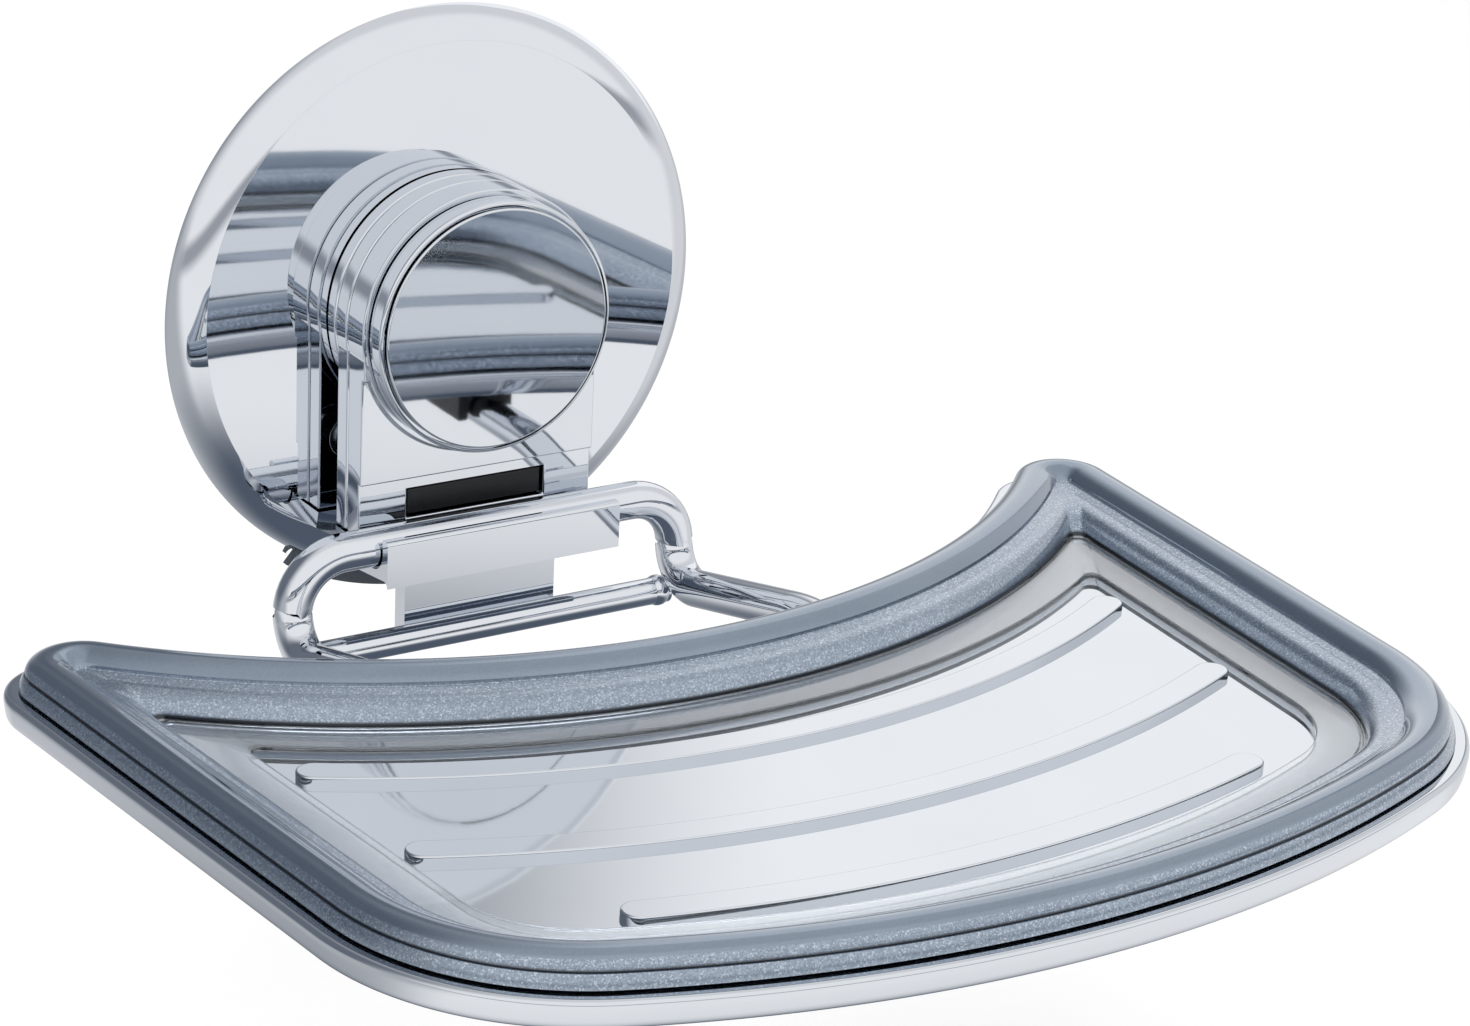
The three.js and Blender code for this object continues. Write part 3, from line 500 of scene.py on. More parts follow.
HOOK_SCREW_X = 14.2
HOOK_SCREW_DEPTH = 12.2
combine(hook, [heel], "UNION")
combine(hook, [
    rod("seat", SCREW_SEAT_RADIUS, (side * HOOK_SCREW_X, HOOK_SCREW_DEPTH),
        HOOK_FLOOR - CUT_OVERRUN, HOOK_FLOOR + SCREW_SEAT_DEPTH, upright)
    for side in (-1, 1)
])
ease(hook, 0.3)
fit(hook, "bracket", "chrome_plated_plastic", plated_abs, "hook_block")


# Screws: pan-head tapping screws with a cross recess, cold-headed from steel wire and zinc plated.
# Two hold the bracket's layers from behind and two hold the hook from below.
def instanced(name, base, master, body, slot, material, *nodes):
    """Sets a copy of the master on each point of the base, turned by the point's own turn."""
    tree = bpy.data.node_groups.new(name, "GeometryNodeTree")
    tree.interface.new_socket("Geometry", in_out="INPUT", socket_type="NodeSocketGeometry")
    size = tree.interface.new_socket("Size", in_out="INPUT", socket_type="NodeSocketFloat")
    tree.interface.new_socket("Geometry", in_out="OUTPUT", socket_type="NodeSocketGeometry")
    given = put(tree, "NodeGroupInput")
    source = put(tree, "GeometryNodeObjectInfo", {"Object": master})
    turn = put(tree, "GeometryNodeInputNamedAttribute", {"Name": "turn"}, data_type="FLOAT_VECTOR")
    copies = put(tree, "GeometryNodeInstanceOnPoints", {
        "Points": given.outputs["Geometry"],
        "Instance": source.outputs["Geometry"],
        "Rotation": turn.outputs["Attribute"],
        "Scale": given.outputs["Size"],
    })
    real = put(tree, "GeometryNodeRealizeInstances", {"Geometry": copies.outputs["Instances"]})
    coated = put(tree, "GeometryNodeSetMaterial", {
        "Geometry": real.outputs["Geometry"], "Material": material,
    })
    put(tree, "NodeGroupOutput", {"Geometry": coated.outputs["Geometry"]})
    mesh = bpy.data.meshes.new(name)
    mesh.from_pydata([Vector(spot) * MM for spot, _ in base], [], [])
    turns = mesh.attributes.new("turn", "FLOAT_VECTOR", "POINT")
    for i, (_, angles) in enumerate(base):
        turns.data[i].vector = angles
    piece = bpy.data.objects.new(name, mesh)
    bpy.context.scene.collection.objects.link(piece)
    step = piece.modifiers.new(name, "NODES")
    step.node_group = tree
    step[size.identifier] = 1.0
    settle(piece)
    bpy.data.objects.remove(master)
    return fit(piece, body, slot, material, *nodes)


def as_drawn(u, v, z):
    return (u, v, z)


SCREW_HEAD = (2.3, 1.3)
SCREW_SHANK = 1.2
BRACKET_SCREW_LENGTH = 4.4
HOOK_SCREW_LENGTH = 7
THREAD_PITCH = 1
THREAD_DEPTH = 0.28
ROWS_PER_TURN = 6
# The cross recess, as shares of the head's radius and height
RECESS_ARM = 0.52
RECESS_HALF_WIDTH = 0.12
RECESS_DEPTH = 0.6


def pan_screw(length):
    """A screw along +Z with its head's top at the origin, as one body with a cross recess."""
    head, height = SCREW_HEAD
    sides = 28
    outline = filleted([(0, 0), (head, 0, 0.45), (head, height), (SCREW_SHANK, height)], closed=False)
    rows = [(radius, z, 0) for radius, z in outline]
    count = int(length / THREAD_PITCH * ROWS_PER_TURN)
    rows += [(SCREW_SHANK, height + length * i / count, THREAD_DEPTH) for i in range(count + 1)]
    rows.append((0, height + length, 0))
    shape = bmesh.new()
    rings = []
    for radius, z, crest in rows:
        ring = []
        for i in range(sides if radius > 0 else 1):
            reach = radius - crest * ((z / THREAD_PITCH - i / sides) % 1)
            angle = TURN * i / sides
            spot = (reach * math.cos(angle) * MM, reach * math.sin(angle) * MM, z * MM)
            ring.append(shape.verts.new(spot))
        rings.append(ring)
    for one, two in zip(rings, rings[1:]):
        for i in range(sides):
            j = (i + 1) % sides
            corners = [one[i % len(one)], one[j % len(one)], two[j % len(two)], two[i % len(two)]]
            shape.faces.new(list(dict.fromkeys(corners)))
    screw = piece_from("pan screw", shape)
    arm = head * RECESS_ARM
    slot_half = head * RECESS_HALF_WIDTH
    cross = [
        prism("recess", [(-a, -b), (a, -b), (a, b), (-a, b)], -1, height * RECESS_DEPTH, as_drawn)
        for a, b in ((arm, slot_half), (slot_half, arm))
    ]
    return combine(screw, cross)


quarter = TURN / 4
instanced(
    "bracket_screws",
    [((side * SCREW_X, -BACK_LAYER, SCREW_Z), (quarter, 0, 0)) for side in (-1, 1)],
    pan_screw(BRACKET_SCREW_LENGTH), "bracket", "plain_steel", zinc_plate,
    "bracket_screw_left", "bracket_screw_right",
)
instanced(
    "hook_screws",
    [((side * HOOK_SCREW_X, -HOOK_SCREW_DEPTH, HOOK_FLOOR), (0, 0, 0)) for side in (-1, 1)],
    pan_screw(HOOK_SCREW_LENGTH), "bracket", "plain_steel", zinc_plate,
    "hook_screw_left", "hook_screw_right",
)


# Knob: a plated ABS shell that is turned by hand, with a brass nut pressed in its hub and a mirror
# disc let into its face. Turning it clockwise pulls the stud, and with it the pad, off the wall.
KNOB_RADIUS = 16.5
KNOB_BACK = 14.9
KNOB_FACE = 17.8
KNOB_WEB = 15.9
SKIRT_INNER = 15.1
CAP_SEAT = 17
CAP_ROOM = 16
CAP_FACE = 18.2
NUT_ROOM = 6.07
KNOB_HUB = 7.87
KNOB_HUB_BACK = 12.6
knob = turned("knob_shell", filleted([
    (SKIRT_INNER, KNOB_BACK), (KNOB_RADIUS, KNOB_BACK, 0.3), (KNOB_RADIUS, KNOB_FACE, 0.45),
    (CAP_ROOM, KNOB_FACE, 0.03), (CAP_ROOM, CAP_SEAT), (NUT_ROOM, CAP_SEAT), (NUT_ROOM, KNOB_HUB_BACK),
    (KNOB_HUB, KNOB_HUB_BACK, 0.2), (KNOB_HUB, KNOB_WEB), (SKIRT_INNER, KNOB_WEB),
]))
fit(knob, "knob", "chrome_plated_plastic", plated_abs, "knob_body")
cap = turned("knob_mirror", filleted([
    (0, CAP_SEAT + GAP), (CAP_ROOM - GAP, CAP_SEAT + GAP), (CAP_ROOM - GAP, CAP_FACE, 0.28), (0, CAP_FACE),
]))
fit(cap, "knob", "chrome_plated_plastic", plated_abs, "knob_cap")
machined_brass = surface(
    "brass, machined", "#b8924e", "#cba45c", 3, (0.22, 0.32), relief=(0.01, 0.3), Metallic=1,
)
dress("knob_nut", machined_brass)


# Wire frame: one length of 5 mm steel wire, bent to a loop, resistance welded where its ends meet and
# chromed. Its top bar lies in the hook, its legs drop beside it, and its runners carry the tray.
# The cross wire welded between the legs bears on the hook's heel.
LEG_X = 28
LEG_FOOT = -39.6
RUNNER_Z = -32
RUNNER_REAR = 49.4
LOOP_FRONT = 124
CROSS_Z = -40.2
CROSS_RADIUS = 1.8
CROSS_END = LEG_X - 1
FRONT_BEND = 9
RISE_BEND = 32
LOW_BEND = 5
TOP_BEND = 7
WIRE_SIDES = 40


def bent(corners, radii, steps=14):
    """The centre line through 3-D corners, each bent to its own radius."""
    spots = []
    for i, corner in enumerate(corners):
        here = Vector(corner)
        before = Vector(corners[i - 1]) - here
        after = Vector(corners[(i + 1) % len(corners)]) - here
        turn = math.pi - before.angle(after)
        start = here + before.normalized() * radii[i] * math.tan(turn / 2)
        along = -before.normalized()
        inward = (after.normalized() - along * after.normalized().dot(along)).normalized()
        for step in range(steps + 1):
            angle = turn * step / steps
            onward = along * radii[i] * math.sin(angle)
            sideways = inward * radii[i] * (1 - math.cos(angle))
            spots.append(start + onward + sideways)
    return spots


def wire(name, spots, closed, radius, material):
    """A round wire that follows a centre line."""
    tree = bpy.data.node_groups.new(name, "GeometryNodeTree")
    tree.interface.new_socket("Geometry", in_out="INPUT", socket_type="NodeSocketGeometry")
    thickness = tree.interface.new_socket("Wire Radius", in_out="INPUT", socket_type="NodeSocketFloat")
    sides = tree.interface.new_socket("Sides", in_out="INPUT", socket_type="NodeSocketInt")
    tree.interface.new_socket("Geometry", in_out="OUTPUT", socket_type="NodeSocketGeometry")
    given = put(tree, "NodeGroupInput")
    path = put(tree, "GeometryNodeMeshToCurve", {"Mesh": given.outputs["Geometry"]})
    section = put(tree, "GeometryNodeCurvePrimitiveCircle", {
        "Resolution": given.outputs["Sides"], "Radius": given.outputs["Wire Radius"],
    })
    drawn = put(tree, "GeometryNodeCurveToMesh", {
        "Curve": path.outputs["Curve"], "Profile Curve": section.outputs["Curve"], "Fill Caps": True,
    })
    real = put(tree, "GeometryNodeRealizeInstances", {"Geometry": drawn.outputs["Mesh"]})
    coated = put(tree, "GeometryNodeSetMaterial", {
        "Geometry": real.outputs["Geometry"], "Material": material,
    })
    put(tree, "NodeGroupOutput", {"Geometry": coated.outputs["Geometry"]})
    mesh = bpy.data.meshes.new(name)
    edges = [(i, i + 1) for i in range(len(spots) - 1)] + ([(len(spots) - 1, 0)] if closed else [])
    mesh.from_pydata([spot * MM for spot in spots], edges, [])
    piece = bpy.data.objects.new(name, mesh)
    bpy.context.scene.collection.objects.link(piece)
    step = piece.modifiers.new(name, "NODES")
    step.node_group = tree
    step[thickness.identifier] = radius * MM
    step[sides.identifier] = WIRE_SIDES
    settle(piece)
    shape = bmesh.new()
    shape.from_mesh(piece.data)
    solid = piece_from(name + "_solid", shape)
    bpy.data.objects.remove(piece)
    return solid


half_loop = [
    (LEG_X, -LOOP_FRONT, RUNNER_Z), (LEG_X, -RUNNER_REAR, RUNNER_Z), (LEG_X, -BAR_DEPTH, LEG_FOOT),
    (LEG_X, -BAR_DEPTH, BAR_Z),
]
loop = half_loop + [(-x, y, z) for x, y, z in reversed(half_loop)]
half_bends = [FRONT_BEND, RISE_BEND, LOW_BEND, TOP_BEND]
bend_radii = half_bends + half_bends[::-1]
frame_wire = wire("bent_wire", bent(loop, bend_radii), True, BAR_RADIUS, chrome)
fit(frame_wire, "frame", "chromed_steel", chrome, "wire_frame")
cross_line = [Vector((x, -BAR_DEPTH, CROSS_Z)) for x in (-CROSS_END, CROSS_END)]
cross = wire("cross_bar", cross_line, False, CROSS_RADIUS, chrome)
fit(cross, "frame", "chromed_steel", chrome, "cross_wire")


BUTT_BEAD = (2.85, 3.2)
CROSS_BEAD = (2.08, 1.8)
CROSS_BEAD_X = LEG_X - 2.4
BEAD_STEPS = 14


def bead(name, centre, size):
    """A weld's raised bead along X: a round collar, given by its radius and half its length."""
    radius, spread = size
    angles = [TURN / 2 * i / BEAD_STEPS for i in range(BEAD_STEPS + 1)]
    rows = [(radius * math.sin(angle), spread * -math.cos(angle)) for angle in angles]
    piece = turned(name, rows, closed=False, segments=WIRE_SIDES)
    turn = Vector((0, -1, 0)).rotation_difference(Vector((1, 0, 0))).to_matrix().to_4x4()
    piece.data.transform(Matrix.Translation(Vector(centre) * MM) @ turn)
    return piece


# The beads are ground back and plated over, so they are smooth and bright like the wire
beads = [
    bead("butt weld", (0, -LOOP_FRONT, RUNNER_Z), BUTT_BEAD),
    bead("left weld", (-CROSS_BEAD_X, -BAR_DEPTH, CROSS_Z), CROSS_BEAD),
    bead("right weld", (CROSS_BEAD_X, -BAR_DEPTH, CROSS_Z), CROSS_BEAD),
]
fit(combine(beads[0], beads[1:], "UNION"), "frame", "chromed_steel", chrome)
beads[0].name = "weld_beads"


# Tray: a shallow shell moulded in ABS and plated bright, with a bull-nosed band round it and three
# curved ribs on its floor, so that water runs off beneath what lies there. Its plan has a bowed front
# and a hollow back.
FRONT_Y = -146.5
FRONT_ARC = 145
SIDE_HALF = 76.2
SIDE_Y = -52
SIDE_TAPER = math.radians(4.7)
FRONT_CORNER = 30
BACK_CORNER = 7.5
BACK_ARC = 90
BACK_CENTRE = 21.8
SMALLEST_CORNER = 1.2
BAND_TOP = -24.1
BAND_FOOT = -27.5
BAND_BULGE = 1.39
FLOOR_TOP = -26.2
FLOOR_UNDER = -27.2


def corner_centre(corner, inset, axis_y, distance, farther):
    """The centre of a corner arc that touches the side line, at a distance from a point of the axis."""
    slope = math.tan(SIDE_TAPER)
    base = SIDE_HALF + (axis_y - SIDE_Y) * slope - (corner + inset) / math.cos(SIDE_TAPER)
    a = 1 + slope * slope
    b = base * slope
    root = math.sqrt(b * b - a * (base * base - distance * distance))
    rise = ((root if farther else -root) - b) / a
    return (base + slope * rise, axis_y + rise)


def tray_outline(inset):
    """The tray's plan, drawn in by an inset."""
    front_centre = (0, FRONT_Y + FRONT_ARC)
    back_centre = (0, BACK_CENTRE)
    front_corner = max(FRONT_CORNER - inset, SMALLEST_CORNER)
    back_corner = max(BACK_CORNER - inset, SMALLEST_CORNER)
    front = corner_centre(front_corner, inset, front_centre[1], FRONT_ARC - inset - front_corner, False)
    back = corner_centre(back_corner, inset, back_centre[1], BACK_ARC + inset + back_corner, False)
    front_turn = math.atan2(front[1] - front_centre[1], front[0])
    back_turn = math.atan2(back_centre[1] - back[1], -back[0])
    half = [
        *arc(front_centre, FRONT_ARC - inset, -TURN / 4, front_turn, 48),
        *arc(front, front_corner, front_turn, -SIDE_TAPER, 36)[1:],
        *arc(back, back_corner, -SIDE_TAPER, back_turn, 42),
        *arc(back_centre, BACK_ARC + inset, back_turn - math.pi, -TURN / 4, 48)[1:],
    ]
    return half + [(-x, y) for x, y in reversed(half[1:-1])]


def loft(name, rows, closed):
    """A form whose level sections are insets of the tray's plan, from rows of inset and height."""
    shape = bmesh.new()
    rings = [
        [shape.verts.new((x * MM, y * MM, z * MM)) for x, y in tray_outline(inset)] for inset, z in rows
    ]
    pairs = list(zip(rings, rings[1:])) + ([(rings[-1], rings[0])] if closed else [])
    for one, two in pairs:
        for i in range(len(one)):
            j = (i + 1) % len(one)
            shape.faces.new([one[i], one[j], two[j], two[i]])
    if not closed:
        shape.faces.new(rings[0])
        shape.faces.new(rings[-1])
    return piece_from(name, shape)


RIB_TOP = FLOOR_TOP + 0.9
RIB_ROOT = FLOOR_TOP - 0.5
RIB_HALF_WIDTH = 2
# Each rib: its circle's radius about the centre of the hollow back, and half its span
RIBS = ((111.5, 54.5), (130.8, 53), (147.2, 40))


def curved_rib(radius, half_span):
    """A rib with round ends, on a circle about the centre of the hollow back, rooted in the floor."""
    turn = math.asin(half_span / radius)
    low, high = -TURN / 4 - turn, -TURN / 4 + turn
    ends = [(radius * math.cos(a), BACK_CENTRE + radius * math.sin(a)) for a in (high, low)]
    outline = [
        *arc((0, BACK_CENTRE), radius + RIB_HALF_WIDTH, low, high, 60),
        *arc(ends[0], RIB_HALF_WIDTH, high, high + math.pi, 14)[1:-1],
        *arc((0, BACK_CENTRE), radius - RIB_HALF_WIDTH, high, low, 60),
        *arc(ends[1], RIB_HALF_WIDTH, low + math.pi, low + TURN, 14)[1:-1],
    ]
    rib = prism("rib", outline, RIB_ROOT, RIB_TOP, as_drawn)
    return ease(rib, 0.25, segments=4, angle=60)


# The band's nose is a squared oval, so that most of it mirrors one thing and its top edge another
NOSE_STEPS = 28
NOSE_POWER = 4
NOSE_LEAN = 0.4
BAND_INNER = 1.8
nose = []
for i in range(NOSE_STEPS + 1):
    turn = math.pi * i / NOSE_STEPS
    swell = math.sin(turn) ** (2 / NOSE_POWER)
    share = 0.5 - 0.5 * math.copysign(abs(math.cos(turn)) ** (2 / NOSE_POWER), math.cos(turn))
    reach = (1 - share) * NOSE_LEAN - BAND_BULGE * swell
    nose.append((reach, BAND_FOOT + (BAND_TOP - BAND_FOOT) * share))
tray = loft("ribbed_tray", [
    (3.2, FLOOR_UNDER), (2.4, BAND_FOOT), *nose, (1.6, BAND_TOP), (1.75, BAND_TOP - 0.15),
    (BAND_INNER, BAND_TOP - 0.4), (BAND_INNER, FLOOR_TOP + 0.3), (1.9, FLOOR_TOP + 0.08), (2.1, FLOOR_TOP),
], closed=False)
ease(tray, 0.3, angle=50)
combine(tray, [curved_rib(radius, half_span) for radius, half_span in RIBS], "UNION")
fit(tray, "tray", "chrome_plated_plastic", plated_abs, "tray_base")


# Saddles and feet: black rubber saddles straddle the runners so that the tray neither slides nor
# rattles, and small grey feet let it stand on a shelf once it is lifted off.
SADDLE_WALL = 1.6
SADDLE_REACH = 1.2
SADDLE_TOP = 4.5
SADDLE_HALF = 6
SADDLES_Y = (-76, -104)
saddle_inner = BAR_RADIUS + GAP
saddle_outer = saddle_inner + SADDLE_WALL
saddle_outline = [
    *arc((0, 0), saddle_inner, math.pi, 0, 24),
    (saddle_inner, -SADDLE_REACH), (saddle_outer, -SADDLE_REACH), (saddle_outer, SADDLE_TOP),
    (-saddle_outer, SADDLE_TOP), (-saddle_outer, -SADDLE_REACH), (-saddle_inner, -SADDLE_REACH),
]
saddle = prism("saddle", saddle_outline, -SADDLE_HALF, SADDLE_HALF, lambda u, v, along: (u, along, v))
ease(saddle, 0.3)
instanced(
    "rubber_saddles",
    [((side * LEG_X, y, RUNNER_Z), (0, 0, 0)) for side in (-1, 1) for y in SADDLES_Y],
    saddle, "tray", "black_rubber", nitrile,
    "rear_saddle_left", "rear_saddle_right", "front_saddle_left", "front_saddle_right",
)

FOOT_RADIUS = 3
FOOT_HALF = 3.5
FOOT_HEIGHT = 3
SIDE_FOOT_Y = -80
SIDE_FOOT_INSET = 5.5
FRONT_FOOT_X = 38
FRONT_FOOT_INSET = 13
foot_outline = [
    *arc((FOOT_HALF, 0), FOOT_RADIUS, -TURN / 4, TURN / 4, 20),
    *arc((-FOOT_HALF, 0), FOOT_RADIUS, TURN / 4, 3 * TURN / 4, 20),
]
foot = prism("foot", foot_outline, -FOOT_HEIGHT, 0, as_drawn)
ease(foot, 0.7, segments=5)
side_foot_x = SIDE_HALF + (SIDE_FOOT_Y - SIDE_Y) * math.tan(SIDE_TAPER) - SIDE_FOOT_INSET
front_foot_turn = math.asin(FRONT_FOOT_X / FRONT_ARC)
foot_top = FLOOR_UNDER - GAP
instanced(
    "tray_feet",
    [
        ((side * side_foot_x, SIDE_FOOT_Y, foot_top), (0, 0, TURN / 4 - side * SIDE_TAPER))
        for side in (-1, 1)
    ] + [
        ((side * FRONT_FOOT_X, FRONT_Y + FRONT_FOOT_INSET, foot_top), (0, 0, side * front_foot_turn))
        for side in (-1, 1)
    ],
    foot, "tray", "pad_grey", soft_pvc,
    "side_foot_left", "side_foot_right", "front_foot_left", "front_foot_right",
)


# Rim: a loose insert moulded in smoky clear acrylic. Its crown rests on the tray's band, its inner
# wall drops to the floor, and a thin clear ledge lies on the floor round the ribs. The crown's top is
# polished; its outer face and the inner wall have a fine sparkle grain.
GRAIN_SIZE = 0.17
GRAIN_DEPTH = 0.015
HAZE_PATCH = 14
HAZE_WEIGHT = 0.4
# Flecks above this share get a painted glint
PAINTED_GLINT_FROM = 0.87
POLISHED = 0.03
GRAINED = 0.25
METAL_SHARE = 0.9
smoky = bpy.data.materials.new("smoky acrylic, moulded, with a sparkle grain")
smoky.use_nodes = True
tree = smoky.node_tree
tree.nodes.clear()
spot = put(tree, "ShaderNodeTexCoord").outputs["Object"]
grained = put(tree, "ShaderNodeAttribute", attribute_name="grain").outputs["Fac"]
clear = put(tree, "ShaderNodeAttribute", attribute_name="clear").outputs["Fac"]
# The real grain looks finer than this; it is drawn as coarse as it needs to be to show
grain = put(tree, "ShaderNodeTexVoronoi", {"Vector": spot, "Scale": 1 / (GRAIN_SIZE * MM)})
fleck = put(tree, "ShaderNodeSeparateColor", {"Color": grain.outputs["Color"]}).outputs["Red"]
flecks = put(tree, "ShaderNodeMath", {0: fleck, 1: grained}, operation="MULTIPLY").outputs["Value"]
haze = put(tree, "ShaderNodeTexNoise", {"Vector": spot, "Scale": 1 / (HAZE_PATCH * MM), "Detail": 3})
faint = put(tree, "ShaderNodeMath", {0: haze.outputs["Fac"], 1: HAZE_WEIGHT}, operation="MULTIPLY")
mottle = put(tree, "ShaderNodeMath", {0: flecks, 1: faint.outputs["Value"]}, operation="ADD")
lightness = put(tree, "ShaderNodeMapRange", {
    "Value": mottle.outputs["Value"], "From Min": 0.1, "From Max": 1.2,
})
body_tint = put(tree, "ShaderNodeMix", {
    "Factor": lightness.outputs["Result"], "A": linear("#808d9d"), "B": linear("#a6b2c2"),
}, data_type="RGBA")
# One fleck in eight is painted lighter, a painted glint as if it lay flat enough to catch the light
painted_glint = put(tree, "ShaderNodeMath", {0: flecks, 1: PAINTED_GLINT_FROM}, operation="GREATER_THAN")
with_painted_glint = put(tree, "ShaderNodeMix", {
    "Factor": painted_glint.outputs["Value"], "A": body_tint.outputs["Result"], "B": linear("#b9c4d2"),
}, data_type="RGBA")
# Painted shade: a near-black tint in the crown's groove and along the inner wall's foot, standing in for the
# shade there
with_painted_shade = put(tree, "ShaderNodeMix", {
    "Factor": put(tree, "ShaderNodeAttribute", attribute_name="painted_shade").outputs["Fac"],
    "A": with_painted_glint.outputs["Result"], "B": linear("#20272f"),
}, data_type="RGBA")
tint = put(tree, "ShaderNodeMix", {
    "Factor": clear, "A": with_painted_shade.outputs["Result"], "B": linear("#f2f6fa"),
}, data_type="RGBA")
sparkle = put(tree, "ShaderNodeBump", {"Height": flecks, "Distance": GRAIN_DEPTH * MM, "Strength": 1})
dull = put(tree, "ShaderNodeMapRange", {"Value": grained, "To Min": POLISHED, "To Max": GRAINED})
gloss = put(tree, "ShaderNodeMix", {0: clear, 2: dull.outputs["Result"], 3: POLISHED}, data_type="FLOAT")
# The body is drawn mostly as a dark metal under a clear coat. Plain acrylic isn't metallic; this was
# matched to the silvery look of the real rim, and only the ledge lets light through.
metal = put(tree, "ShaderNodeMapRange", {"Value": clear, "To Min": METAL_SHARE, "To Max": 0})
acrylic = put(tree, "ShaderNodeBsdfPrincipled", {
    "Base Color": tint.outputs["Result"],
    "Roughness": gloss.outputs[0],
    "Metallic": metal.outputs["Result"],
    "Normal": sparkle.outputs["Normal"],
    "Transmission Weight": clear,
    "IOR": 1.49,
    "Coat Weight": 1,
    "Coat Roughness": POLISHED,
})
put(tree, "ShaderNodeOutputMaterial", {"Surface": acrylic.outputs["BSDF"]})

RIM_CREST = -20.2
RIM_LIP = BAND_TOP + GAP
RIM_SEAT = FLOOR_TOP + GAP
LEDGE_TOP = RIM_SEAT + 0.8
LEDGE_END = 16.1
LIP = (0.4, RIM_LIP)
GROOVE_FOOT = (0.98, -22.3)
GROOVE_TOP = (1.1, -21.8)
CREST = (3.4, RIM_CREST)
BROW = (6.3, -21.6)
STEP = (7.6, -22.5)
FOOT = (10.6, LEDGE_TOP)
FACE_GRAINED_TO = 1.5
POLISH_GRAIN = 0.15
rim_rows = [
    *curve(LIP, (0.55, -22.9), GROOVE_FOOT, 8),
    *filleted([GROOVE_FOOT, (1.33, -22.28, 0.1), (1.45, -21.93, 0.1), GROOVE_TOP], closed=False)[1:],
    *curve(GROOVE_TOP, (1.5, -20.35), CREST, 16)[1:],
    *curve(CREST, (4.8, RIM_CREST), BROW, 14)[1:],
    *filleted([BROW, (6.4, -22.05, 0.12), (7.4, -22.4, 0.12), STEP], closed=False, steps=3)[1:],
    *curve(STEP, (9.9, -22.5), FOOT, 16)[1:],
    *filleted([
        FOOT, (10.65, LEDGE_TOP - 0.4, 0.08), (11, LEDGE_TOP - 0.4, 0.08), (11.05, LEDGE_TOP, 0.08),
        (LEDGE_END, LEDGE_TOP, 0.25), (LEDGE_END, RIM_SEAT, 0.1), (9.1, RIM_SEAT, 0.2), (7.6, -24, 0.3),
        (4.8, -22, 0.3), (3.6, -22, 0.3), (3.6, RIM_SEAT, 0.1), (2.1, RIM_SEAT, 0.1), (2.1, RIM_LIP, 0.1),
        LIP,
    ], closed=False, steps=4)[1:-1],
]
rim = loft("smoky_rim", rim_rows, closed=True)
# What each stretch of the section is: how far it is grained, how clear, and whether it gets painted shade
grain_share = rim.data.attributes.new("grain", "FLOAT", "POINT")
clear_share = rim.data.attributes.new("clear", "FLOAT", "POINT")
painted_shade_share = rim.data.attributes.new("painted_shade", "FLOAT", "POINT")
ring = len(tray_outline(0))
for i, (inset, z) in enumerate(rim_rows):
    outer_face = inset < FACE_GRAINED_TO
    inner_wall = BROW[0] + 0.05 < inset < FOOT[0] and z > LEDGE_TOP
    # The groove and the wall's foot are where the painted shade goes
    in_groove = 1.02 < inset < 1.4 and GROOVE_FOOT[1] < z < GROOVE_TOP[1] - 0.1
    at_foot = z < LEDGE_TOP + 0.35 and FOOT[0] - 0.3 < inset < FOOT[0] + 0.5
    for vertex in range(i * ring, (i + 1) * ring):
        grain_share.data[vertex].value = 1.0 if outer_face or inner_wall else POLISH_GRAIN
        painted_shade_share.data[vertex].value = 1.0 if in_groove or at_foot else 0.0
        clear_share.data[vertex].value = 1.0 if inset > FOOT[0] + 0.02 else 0.0
fit(rim, "rim", "smoky_clear", smoky, "tray_rim")


# Floor: a pale sweep below the dish, which keeps its soft shadow and shows white to the camera. What
# polished metal shows of the studio is painted by direction, for glossy rays alone, and was tuned to
# the photograph, so it is a guess at a room that can't be seen.
# Each soft shade: where it is, the cosine at which it starts and is full, and its level
SHADES = (
    ((-0.5, 0.75, 0.43), 0.5, 0.92, 0.2),
    ((-0.95, 0.2, -0.25), 0.75, 0.95, 0.65),
    ((0.5, 0.7, -0.5), 0.75, 0.97, 0.65),
    ((0, 0, -1), 0.45, 0.9, 0.12),
    ((0.52, 0.78, 0.36), 0.85, 0.98, 0.3),
)
WALL_LEVEL = 0.8
FRONT_FULL_AT = -0.45
HORIZON_AT = 0.05
HORIZON_REACH = (0.02, 0.12)
HORIZON_DEPTH = 0.6
SHADE_TINT = (0, 0.025, 0.07, 1)
WHITE = (1, 1, 1, 1)


